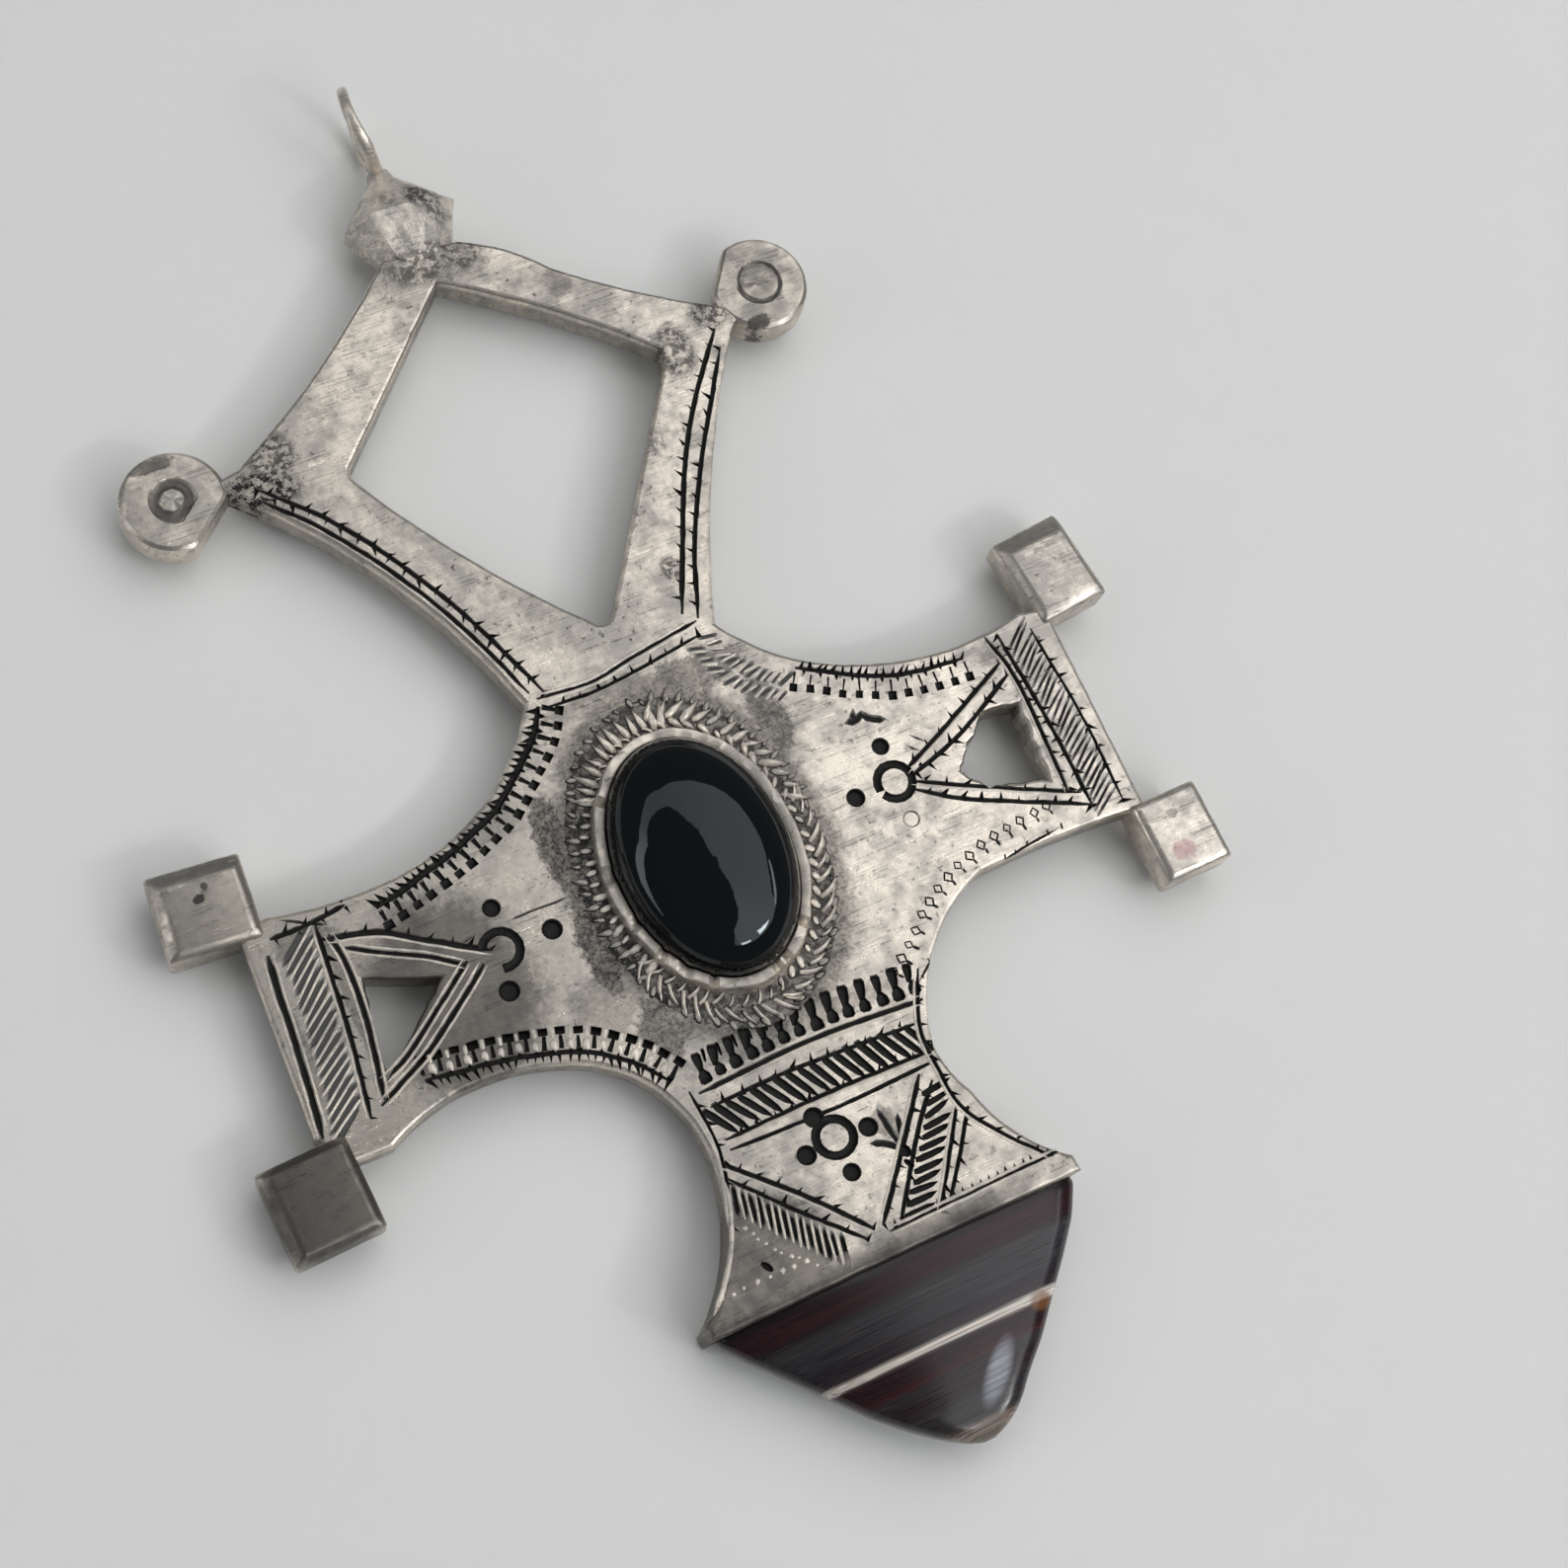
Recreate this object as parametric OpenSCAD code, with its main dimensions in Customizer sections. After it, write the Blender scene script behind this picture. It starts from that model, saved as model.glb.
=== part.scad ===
// Engraved silver cross pendant with an oval black stone, an open diamond
// frame above, four square arm ends and an agate tip in a folded socket.
// The outline tables are measured from the middle of the oval stone;
// everything is then moved so that the middle of the outer box is the origin.

/* [Plate] */
// Thickness of the silver plate
plate_t = 2.4; // [1.6:0.1:3]
// Height of the plate's back above the surface it lies on
back_z = 1.4; // [1.2:0.1:2]
// Thickness of the four square arm ends
end_t = 3.4; // [2.8:0.1:3.8]
// Width of the chamfer round the square arm ends
end_chamfer = 0.7; // [0.3:0.1:1]
// Thickness of the two round frame ends
disc_t = 2.6; // [2.4:0.1:3.2]
// Width of the chamfer round the two round frame ends
disc_chamfer = 0.5; // [0.2:0.1:0.8]

/* [Stone setting] */
// Width of the oval stone
stone_w = 11.8; // [9:0.1:12.5]
// Length of the oval stone
stone_l = 16.8; // [14:0.1:18]
// Height of the oval stone above the plate
stone_h = 4.3; // [3:0.1:6]
// Wall of the bezel round the stone
bezel_t = 0.6; // [0.4:0.1:0.8]
// Height of the bezel above the plate
bezel_h = 1.2; // [0.8:0.1:1.6]
// Width of the chased border beside the bezel
border_w = 1.7; // [1.3:0.1:2]
// Width of the chased border above and below the bezel
border_l = 2.6; // [2:0.1:3]
// Height of the chased border above the plate
border_h = 0.4; // [0.2:0.1:0.7]
// Gap left between a stone and its metal
stone_gap = 0.08; // [0.04:0.02:0.12]

/* [Socket and agate tip] */
// Thickness of the socket at its lip
socket_t = 5.4; // [5:0.1:6]
// Thickness of the agate where it leaves the socket
agate_t = 4.4; // [3.6:0.1:4.6]
// Depth that the agate reaches into the socket
tang_l = 2; // [1:0.1:3]

/* [Knop and ring] */
// Width of the faceted knop
knop_w = 8.5; // [7:0.1:9]
// Thickness of the faceted knop
knop_t = 5; // [4.6:0.1:6]
// Outer radius of the hanging ring
ring_r = 3.3; // [3:0.05:3.6]
// Thickness of the ring's wire, measured outwards
ring_wire = 0.85; // [0.6:0.05:1]
// Width of the ring's wire, measured along its axis
ring_w = 0.8; // [0.6:0.05:0.9]
// Twist of the ring in its seat
ring_twist = 11; // [0:1:14]
// Height of the ring's lowest point above the surface that the part lies on
ring_lift = 0.35; // [0.2:0.05:0.4]

/* [Hidden] */

face_z = back_z + plate_t;
mid_z = back_z + plate_t / 2;

// Corners of the plate in turn, clockwise from the knop. The third column is
// how far the edge from this corner to the next is scooped into the metal.
plate_edge = [ // x, y, scoop
    [2.9, 47.6, -0.4],
    [8.2, 43.5, 0.25],
    [16.8, 37.4, 0],
    [19.6, 35.8, 0],
    [18.2, 34.4, 0.8],
    [7.8, 14.9, 0.8],
    [15.2, 8.8, 1],
    [27.8, 7.8, 0],
    [29.9, 7.4, 0],
    [29.8, -8.3, 0],
    [28.4, -8.1, 0.2],
    [17, -7.9, 1.2],
    [9.3, -15.3, 0.65],
    [9.6, -20.9, 0.75],
    [13.6, -27.5, 0],
    [13.6, -28.6, 0],
    [-12.9, -28.6, 0],
    [-12.9, -27.8, 1],
    [-8, -19.2, 1.6],
    [-12.2, -9.7, 1.75],
    [-25.9, -9.4, 0],
    [-28.8, -9.4, 0],
    [-30.2, -7, 0],
    [-29.6, 7.2, 0],
    [-27.5, 7.4, 0.45],
    [-17.9, 6.9, 1.55],
    [-6.6, 14.4, 1.6],
    [-18.9, 35.3, 0],
    [-20.4, 36.2, 0],
    [-17.6, 36.8, 0.6],
    [-2.7, 47.9, 0]
];
// Corners of the diamond opening in the frame
diamond_edge = [ // x, y, scoop
    [0.3, 45, -0.5],
    [12.8, 34.9, 0],
    [12.4, 33.6, 0],
    [1.3, 17.8, -0.15],
    [0.3, 17.8, -0.6],
    [-10.7, 33.2, -0.1],
    [-10.7, 34.2, 0]
];
// Corners of the pierced triangles in the left and the right arm
left_hole = [[-23.5, 1.2], [-19, -0.6], [-24.6, -5.3]];
right_hole = [[18.8, -1], [22.2, 2.2], [24.7, 1.8], [24.2, -3.8], [20.3, -2.7]];
// The four square arm ends
arm_ends = [ // x, y, width, length, turn
    [31.5, 9.9, 5.4, 6.8, 6],
    [31.2, -10.8, 5.1, 5.9, 1],
    [-31.3, -10.7, 6.1, 6.4, 2],
    [-30.9, 9.4, 6.2, 5.9, -5]
];
// The two round frame ends, each with one side filed flat
disc_ends = [ // x, y, radius, direction of the flat, distance of the flat
    [21.6, 37.2, 3.6, 144, 3],
    [-22.4, 36.1, 3.65, -50, 2.9]
];
// Side profile of plate and socket, from the frame down to the lip and back
flare_y = -17.5;
lip_y = -28.6;
lip_w = 1.1;
lip_step = 0.2;
socket_z = 0;
side_profile = [ // y, z
    [60, face_z],
    [flare_y, face_z],
    [lip_y + lip_w, socket_z + socket_t - lip_step],
    [lip_y + lip_w, socket_z + socket_t],
    [lip_y - 1, socket_z + socket_t],
    [lip_y - 1, socket_z],
    [lip_y + lip_w, socket_z],
    [flare_y, back_z],
    [60, back_z]
];
// Sections of the agate along its length
agate_rows = [ // y, left side, right side, thickness as a part of agate_t
    [lip_y + tang_l, -12, 12.8, 0.9],
    [lip_y - stone_gap, -12, 12.8, 0.9],
    [lip_y - stone_gap - 0.1, -12.5, 13.6, 0.98],
    [-31, -10.7, 12.4, 1],
    [-33, -8.9, 10.7, 0.98],
    [-35, -7.1, 8.8, 0.94],
    [-37, -5.3, 7, 0.87],
    [-38.6, -3.6, 5.2, 0.78],
    [-39.8, -2.1, 4.1, 0.66],
    [-40.6, -1, 3.1, 0.5],
    [-41.1, -0.1, 2.1, 0.32],
    [-41.3, 0.6, 1.4, 0.14]
];
agate_sides = 28;
agate_square = 0.72;
agate_z = socket_z + socket_t / 2;

stone_at = [-0.2, 0.05];
stone_rows = [ // height, size, each as a part of the whole
    [0, 0.97], [0.08, 1], [0.24, 1], [0.4, 0.975], [0.56, 0.92], [0.7, 0.835],
    [0.82, 0.715], [0.91, 0.565], [0.97, 0.37], [1, 0.12]
];
stone_sides = 56;

// Half widths of the knop along its length
knop_rows = [ // y, half width, half thickness, each as a part of the whole
    [46.8, 0.4, 0.4],
    [47.8, 0.66, 0.66],
    [50.9, 1, 1],
    [54.2, 0.235, 0.36],
    [54.9, 0.22, 0.34]
];
knop_z = socket_z + knop_t / 2;
ring_at = [-0.2, 57.8, ring_lift + ring_r * cos(ring_twist) + ring_w / 2 * sin(ring_twist)];
ring_chamfer = 0.15;
slot_gap = 0.05;
ring_sides = 96;

tip_y = -41.3;
box_mid_y = (ring_at.y + ring_r + tip_y) / 2;
arc_step = 1;
disc_sides = 64;
big = 100;

silver = "#b9b3a8";
dark_silver = "#8d8981";
onyx = "#111214";
agate = "#5a4b50";

// Points along the arc from a to b that is scooped in by h, without b
function arc_points(a, b, h) =
    let (c = norm(b - a), t = (b - a) / c, n = [t.y, -t.x])
    h == 0 ? [a]
    : let (r = (c * c / 4 + h * h) / (2 * h),
           o = (a + b) / 2 + n * (h - r),
           half = asin(c / 2 / r),
           steps = max(3, ceil(c / arc_step)))
      [for (i = [0:steps - 1])
          let (u = half * (2 * i / steps - 1))
          o + r * (cos(u) * n + sin(u) * t)];

// The closed outline that a table of corners and scoops describes
function outline(rows) = [
    for (i = [0:len(rows) - 1])
        let (p = rows[i], q = rows[(i + 1) % len(rows)])
        each arc_points([p.x, p.y], [q.x, q.y], p.z)
];

// An oval of half widths a and b, with its corners drawn out when e is under 1
function oval(a, b, n, e = 1) = [
    for (i = [0:n - 1])
        let (u = 360 * i / n, c = cos(u), s = sin(u))
        [a * sign(c) * pow(abs(c), e), b * sign(s) * pow(abs(s), e)]
];

// A closed solid through sections that all have the same number of points
module loft(sections) {
    n = len(sections[0]);
    m = len(sections);
    polyhedron(
        points = [for (s = sections) each s],
        faces = concat(
            [[for (i = [0:n - 1]) i]],
            [for (j = [0:m - 2], i = [0:n - 1])
                let (k = (i + 1) % n)
                [j * n + i, (j + 1) * n + i, (j + 1) * n + k, j * n + k]],
            [[for (i = [n - 1:-1:0]) (m - 1) * n + i]]
        ),
        convexity = 4
    );
}

// Puts the outline tables' middle where the outer box has its own
module placed() translate([0, -box_mid_y, 0]) children();

module plan_prism(points, low, high) {
    translate([0, 0, low]) linear_extrude(high - low) polygon(points);
}

// The plate with its open frame and the flared socket at its foot
module plate_blank() {
    difference() {
        intersection() {
            plan_prism(outline(plate_edge), -1, big / 4);
            rotate([90, 0, 90]) translate([0, 0, -big / 2])
                linear_extrude(big) polygon(side_profile);
        }
        plan_prism(outline(diamond_edge), 0, big / 4);
        plan_prism(left_hole, 0, big / 4);
        plan_prism(right_hole, 0, big / 4);
    }
}

// A bar along Z, middle at the origin, whose long edges are chamfered
module chamfered_bar(width, thick, length) {
    w = width / 2;
    t = thick / 2;
    c = end_chamfer;
    d = end_chamfer * 0.6;
    translate([0, 0, -length / 2]) linear_extrude(length) polygon([
        [w, t - d], [w - c, t], [c - w, t], [-w, t - d],
        [-w, d - t], [c - w, -t], [w - c, -t], [w, d - t]
    ]);
}

// A square end, chamfered all round on its front and its back
module arm_end(row) {
    translate([row[0], row[1], mid_z]) rotate([0, 0, row[4]]) intersection() {
        rotate([90, 0, 0]) chamfered_bar(row[2], end_t, row[3]);
        rotate([90, 0, 90]) chamfered_bar(row[3], end_t, row[2]);
    }
}

// A round end with a chamfered rim and one flat side
module disc_end(row) {
    r = row[2];
    low = mid_z - disc_t / 2;
    translate([row[0], row[1], low]) rotate([0, 0, row[3]]) intersection() {
        rotate_extrude($fn = disc_sides) polygon([
            [0, 0], [r - disc_chamfer, 0], [r, disc_chamfer],
            [r, disc_t - disc_chamfer], [r - disc_chamfer, disc_t], [0, disc_t]
        ]);
        translate([-2 * r, -2 * r, -1]) cube([2 * r + row[4], 4 * r, disc_t + 2]);
    }
}

// How far the knop's side that faces the angle a lies from its axis
function knop_side(row, a) =
    norm([row[1] * knop_w / 2 * cos(a), row[2] * knop_t / 2 * sin(a)]);

// Eight-sided faceted knop that narrows to a neck
module knop_blank() {
    translate([0, 0, knop_z]) intersection_for(a = [0:45:135])
        rotate([0, a, 0]) translate([0, 0, -knop_w]) linear_extrude(2 * knop_w)
            polygon(concat(
                [for (row = knop_rows) [knop_side(row, a), row[0]]],
                [for (i = [len(knop_rows) - 1:-1:0])
                    [-knop_side(knop_rows[i], a), knop_rows[i][0]]]
            ));
}

// Slot across the neck that the ring's foot stands in
module ring_slot() {
    translate(ring_at) rotate([0, -ring_twist, 0])
        rotate([0, 90, 0]) translate([0, 0, -ring_w / 2 - slot_gap])
            cylinder(h = ring_w + 2 * slot_gap, r = ring_r + slot_gap, $fn = ring_sides);
}

// Recess of the socket that takes the agate's tang
module socket_recess() {
    row = agate_rows[0];
    half = (row[2] - row[1]) / 2 + stone_gap;
    thick = row[3] * agate_t / 2 + stone_gap;
    translate([(row[1] + row[2]) / 2, lip_y + tang_l + stone_gap, agate_z])
        rotate([90, 0, 0]) linear_extrude(tang_l + 2)
            polygon(oval(half, thick, agate_sides, agate_square));
}

module oval_band(outer, inner, height) {
    translate([stone_at.x, stone_at.y, face_z - 0.3]) linear_extrude(height + 0.3)
        difference() {
            polygon(oval(outer.x, outer.y, stone_sides * 2));
            polygon(oval(inner.x, inner.y, stone_sides * 2));
        }
}

module cross_plate() {
    seat = [stone_w, stone_l] / 2 + [stone_gap, stone_gap];
    bezel = seat + [bezel_t, bezel_t];
    border = bezel + [border_w, border_l];
    color(silver) placed() {
        difference() {
            union() {
                plate_blank();
                for (row = arm_ends) arm_end(row);
                for (row = disc_ends) disc_end(row);
                knop_blank();
            }
            ring_slot();
            socket_recess();
        }
        oval_band(border, seat, border_h);
        oval_band(bezel, seat, bezel_h);
    }
}

module onyx_cabochon() {
    color(onyx) placed()
        translate([stone_at.x, stone_at.y, face_z + stone_gap])
            loft([for (row = stone_rows)
                [for (p = oval(row[1] * stone_w / 2, row[1] * stone_l / 2, stone_sides))
                    [p.x, p.y, row[0] * stone_h]]]);
}

module agate_tip() {
    color(agate) placed()
        loft([for (row = agate_rows)
            let (half = (row[2] - row[1]) / 2, x = (row[1] + row[2]) / 2)
            [for (p = oval(half, row[3] * agate_t / 2, agate_sides, agate_square))
                [x + p.x, row[0], agate_z + p.y]]]);
}

module bail_ring() {
    inner = ring_r - ring_wire;
    h = ring_w / 2;
    c = ring_chamfer;
    color(dark_silver) placed()
        translate(ring_at) rotate([0, -ring_twist, 0]) rotate([0, 90, 0])
            rotate_extrude($fn = ring_sides) polygon([
                [inner, -h], [ring_r - c, -h], [ring_r, -h + c],
                [ring_r, h - c], [ring_r - c, h], [inner, h]
            ]);
}

cross_plate();
onyx_cabochon();
agate_tip();
bail_ring();
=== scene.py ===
import itertools
from functools import partialmethod
from math import asin, copysign, cos, dist, hypot, pi, radians, sin

import bmesh
import bpy
from mathutils import Matrix, Vector, kdtree, noise
from mathutils.geometry import delaunay_2d_cdt, intersect_line_line_2d


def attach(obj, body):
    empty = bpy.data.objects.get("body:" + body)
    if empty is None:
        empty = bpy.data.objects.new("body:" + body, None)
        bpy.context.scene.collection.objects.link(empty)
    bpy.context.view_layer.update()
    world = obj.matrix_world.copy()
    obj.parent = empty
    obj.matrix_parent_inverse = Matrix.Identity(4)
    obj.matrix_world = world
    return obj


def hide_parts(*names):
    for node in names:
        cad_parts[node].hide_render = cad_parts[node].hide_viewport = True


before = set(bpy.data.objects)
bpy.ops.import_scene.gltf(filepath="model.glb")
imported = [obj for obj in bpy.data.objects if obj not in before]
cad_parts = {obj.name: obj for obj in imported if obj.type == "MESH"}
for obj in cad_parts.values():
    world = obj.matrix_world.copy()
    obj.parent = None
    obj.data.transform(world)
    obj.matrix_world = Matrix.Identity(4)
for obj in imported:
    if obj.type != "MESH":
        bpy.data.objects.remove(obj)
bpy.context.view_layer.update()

print("solids loaded")

# Tables and meshes are in millimetres from the middle of the black stone, and finishPiece moves them
# into the frame
mm = 0.001
stoneY = -9.9
faceZ = 3.8  # front of the plate
backZ = 1.4
flareY = -17.5  # the socket starts to swell here
flareSlope = 0.14


def riseAt(y, longest=20.0):
    # How much the socket has swelled at y
    return flareSlope * min(longest, max(0.0, flareY - y))


def polar(degrees):
    return cos(radians(degrees)), sin(radians(degrees))


# node helpers


class Wire:
    # A socket, or a value on its way to one, that takes part in Python expressions
    def __init__(self, graph, socket):
        self.graph, self.socket = graph, socket

    def maths(self, kind, *others):
        return self.graph.maths(kind, self, *others)

    def __rsub__(self, other):
        return self.graph.maths("SUBTRACT", other, self)

    __add__ = __radd__ = partialmethod(maths, "ADD")
    __sub__ = partialmethod(maths, "SUBTRACT")
    __mul__ = __rmul__ = partialmethod(maths, "MULTIPLY")
    __truediv__ = partialmethod(maths, "DIVIDE")
    __pow__ = partialmethod(maths, "POWER")
    low = partialmethod(maths, "MINIMUM")
    high = partialmethod(maths, "MAXIMUM")

    def step(self, start, end):  # a soft step from 0 at start to 1 at end
        return self.graph.add("ShaderNodeMapRange", {"Value": self, "From Min": start, "From Max": end},
                              interpolation_type="SMOOTHSTEP")["Result"]


class Outputs:
    # A node's outputs, by name or number
    def __init__(self, graph, node):
        self.graph, self.node = graph, node

    def __getitem__(self, name):
        return Wire(self.graph, self.node.outputs[name])


class Graph:
    def __init__(self, tree):
        self.tree = tree

    def add(self, kind, values=None, stops=(), **settings):
        node = self.tree.nodes.new(kind)
        for name, value in settings.items():
            setattr(node, name, value)
        if stops:
            ramp = node.color_ramp
            while len(ramp.elements) < len(stops):
                ramp.elements.new(0.5)
            for element, (place, tone) in zip(ramp.elements, stops):
                element.position, element.color = place, (*tone, 1)
        for name, value in (values or {}).items():
            if isinstance(value, Wire):
                self.tree.links.new(value.socket, node.inputs[name])
            else:
                node.inputs[name].default_value = value
        return Outputs(self, node)

    def maths(self, kind, *values):
        return self.add("ShaderNodeMath", dict(enumerate(values)), operation=kind)[0]

    def vector(self, kind, first, second):
        return self.add("ShaderNodeVectorMath", {0: first, 1: second}, operation=kind)[0]

    def split(self, vector):
        return self.add("ShaderNodeSeparateXYZ", {0: vector})

    def join(self, *values):
        return self.add("ShaderNodeCombineXYZ", dict(enumerate(values)))[0]

    def blend(self, factor, first, second, kind="MIX"):
        # A Mix node's sockets for colours are inputs 6 and 7 and output 2
        a, b = (v if isinstance(v, Wire) else (*v, 1) for v in (first, second))
        return self.add("ShaderNodeMix", {0: factor, 6: a, 7: b}, data_type="RGBA", blend_type=kind)[2]

    def tinted(self, colour, tint):
        return self.blend(1.0, colour, tint, "MULTIPLY")

    def noise(self, vector, scale, detail=3.0, rough=0.55, twist=0.0):
        return self.add("ShaderNodeTexNoise", {
            "Vector": vector, "Scale": scale, "Detail": detail, "Roughness": rough, "Distortion": twist})

    def turned(self, vector, degrees, scale):
        return self.add("ShaderNodeMapping", {
            "Vector": vector, "Rotation": (0, 0, radians(degrees)), "Scale": scale})[0]

    def bump(self, height, strength, distance):
        return self.add("ShaderNodeBump", {"Strength": strength, "Distance": distance, "Height": height})[0]


def newMaterial(name):
    material = bpy.data.materials.new(name)
    material.use_nodes = True
    material.node_tree.nodes.clear()
    graph = Graph(material.node_tree)
    graph.material = material
    at = graph.add("ShaderNodeMapping", {  # millimetres from the stone's middle
        "Vector": graph.add("ShaderNodeTexCoord")["Object"], "Scale": (1000, 1000, 1000),
        "Location": (0, -stoneY, 0)})[0]
    return graph, at


def shaded(graph, values):
    shader = graph.add("ShaderNodeBsdfPrincipled", values)
    graph.add("ShaderNodeOutputMaterial", {"Surface": shader["BSDF"]})
    return graph.material


# finishes

silverLook = {
    "bright": (0.83, 0.74, 0.635),
    "grey": (0.45, 0.42, 0.385),
    "soot": (0.042, 0.040, 0.039),
    "satin": 0.21,  # roughness of the clean metal
    "dull": 0.4,
    "relief": 0.00004,
    "cloud": (0.16, 3.0, 0.55, 0.4),  # noises: scale, detail, roughness, distortion
    "mottle": (0.9, 4.0, 0.66),
    "grain": (6.0, 2.0, 0.6),
    "fields": [(0.42, 3.0, 0.65), (1.9, 4.0, 0.72), (4.6, 4.0, 0.75)],  # broad to fine, for the soot
    "paleHairs": [(24, 8.0, 0.62, 0.70), (-52, 9.0, 0.63, 0.72)],  # direction, fineness, start and end
    "darkHairs": [(38, 12.0, 0.64, 0.70), (-63, 10.0, 0.65, 0.72)],
}

soot = {  # blots: middle, radii, strength and, in some, raggedness
    "plate": [
        # The blots at x -7.2 to -9.8, left and lower-left of the border, are painted shadow of the setting;
        # the rest are soot
        (8.3, 7.6, 1.5, 3.4, 0.78), (5.0, 12.2, 3.6, 1.5, 0.7), (-1.5, 12.6, 4.5, 1.2, 0.45),
        (-8.6, 4.6, 1.3, 4.2, 0.95), (-8.9, -2.6, 1.2, 3.8, 0.95), (-7.2, -8.6, 1.8, 2.6, 0.85),
        (0.5, -12.3, 8.0, 1.1, 0.5), (-9.8, -6.4, 2.8, 2.4, 0.45), (-12.2, 7.8, 2.4, 1.5, 0.3),
        (8.2, 42.0, 1.2, 1.2, 0.45), (3.4, -20.6, 1.0, 1.3, 0.6), (-9.6, -25.6, 2.6, 2.4, 0.35),
        (-26.0, 4.9, 2.4, 1.2, 0.6), (-20.6, 1.0, 3.4, 0.9, 0.7), (-24.7, -0.6, 0.5, 6.0, 0.6),
        (-28.7, -1.2, 0.45, 6.5, 0.5), (-20.4, -3.6, 3.0, 0.9, 0.4), (-16.6, 0.4, 1.6, 0.8, 0.5),
        (24.9, 5.6, 1.4, 0.8, 0.4),
    ],
    # Painted shade: broad darkening over the left arm and the fan's left corner, the side away from the light
    "veils": [(-18.8, -2.0, 6.2, 7.6, 0.7, 0.3), (-8.3, -25.3, 6.0, 4.6, 0.64, 0.4)],
    "pits": [
        (-17.0, 34.6, 3.2, 1.9, 1.0), (-15.2, 36.8, 1.9, 2.3, 0.8), (0.6, 46.5, 4.6, 1.7, 0.7),
        (13.6, 34.4, 1.6, 2.4, 0.75), (17.4, 36.4, 2.2, 1.4, 0.8), (6.6, 19.6, 0.9, 1.1, 0.75),
        (9.6, 28.6, 0.8, 1.2, 0.5),
    ],
    "ends": [
        # The wide blots over the whole faces at (-31.3, -10.7) and (-30.9, 9.4) are painted shade on the
        # tilted faces of the left arm ends; the rest are soot
        (21.7, 37.3, 1.4, 1.4, 0.35), (20.4, 34.4, 1.0, 0.6, 0.8), (-22.9, 38.9, 1.8, 0.5, 0.6),
        (-31.0, 9.9, 0.5, 0.45, 0.9), (-30.4, 10.6, 0.3, 0.3, 0.8), (-31.3, -10.7, 4.6, 4.6, 0.8, 0.2),
        (21.6, 37.2, 3.6, 3.6, 0.2, 0.4), (-30.9, 9.4, 4.6, 4.4, 0.28, 0.2), (31.0, -9.4, 0.5, 0.4, 0.5),
    ],
    "discRings": [(-22.5, 36.2, 0.8, 1.5, 0.75), (21.7, 37.3, 1.35, 1.62, 0.8)],
    "knop": [(1.7, 51.4, 1.5, 1.3, 0.9), (-0.4, 47.4, 3.2, 0.9, 0.7), (2.2, 50.0, 0.8, 1.2, 0.8),
             (-0.6, 51.8, 0.8, 0.8, 0.5)],
}


def blot(at, fields, cx, cy, rx, ry, strength, ragged=1.0):
    # A soft patch with a ragged rim
    warp, fine = fields[:2]
    reach = (((at[0] - cx) / rx) ** 2.0 + ((at[1] - cy) / ry) ** 2.0) ** 0.5
    return (1.0 - (reach + ((fine - 0.5) * 1.5 + (warp - 0.5) * 0.9) * ragged).step(0.72, 1.08)) * strength


def ringBlot(at, fields, cx, cy, inner, outer, strength):
    reach = ((at[0] - cx) ** 2.0 + (at[1] - cy) ** 2.0) ** 0.5 + (fields[1] - 0.5) * 0.35
    return reach.step(inner - 0.08, inner + 0.08) * (1.0 - reach.step(outer - 0.1, outer + 0.1)) * strength


def blotted(at, fields, rows, marks=None, shape=blot):
    # The darkest of the marks so far and a blot for each row
    for row in rows:
        patch = shape(at, fields, *row)
        marks = marks.high(patch) if marks else patch
    return marks


def silverSurface(graph, at, tone=1.0, sootiness=1.0, sootMap=None, stains=(), dulled=0.0):
    look = silverLook
    parts = graph.split(at)
    cloud, mottle, grain = (graph.noise(at, *look[name])[0] for name in ("cloud", "mottle", "grain"))
    fields = [graph.noise(at, *row)[0] for row in look["fields"]]

    def hairs(rows):
        first, second = (
            graph.noise(graph.turned(at, degrees, (0.2, fine, 1.0)), 1.0, 1.0, 0.5, 0.3)[0].step(start, end)
            for degrees, fine, start, end in rows)
        return first.high(second)

    gate = mottle.step(0.42, 0.58)
    pale = hairs(look["paleHairs"]) * gate
    dark = hairs(look["darkHairs"]) * (1.0 - gate)
    worn = (cloud * 0.5 + mottle * 0.5).step(0.38, 0.64)
    black = fields[1].step(0.6, 0.68) * (1.0 - worn * 0.6) * 0.75 * sootiness
    # The map adds oxide and, for the plate, lip, border bed and arm ends, painted shade, all in the soot
    # colour
    if sootMap:
        black = black.high(sootMap(parts, fields))
    base = graph.blend(worn * 0.7 + grain * 0.3, look["grey"], [c * tone for c in look["bright"]])
    base = graph.blend(pale * 0.35, base, [min(1, c * 1.18) for c in look["bright"]])
    base = graph.blend(dark * 0.4, base, look["soot"])
    base = graph.blend(black.low(1.0), base, look["soot"])
    for spot, colour in stains:
        base = graph.blend(blot(parts, fields, *spot), base, colour)
    clean = look["dull"] + dulled - worn * (look["dull"] - look["satin"])
    rough = clean + grain * 0.1 + black * 0.15 - pale * 0.06
    height = mottle * 0.55 + grain * 0.16 - (pale + dark) * 0.3 - black * 0.35 + cloud * 0.8
    return base, rough, graph.bump(height, 0.7, look["relief"])


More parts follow.
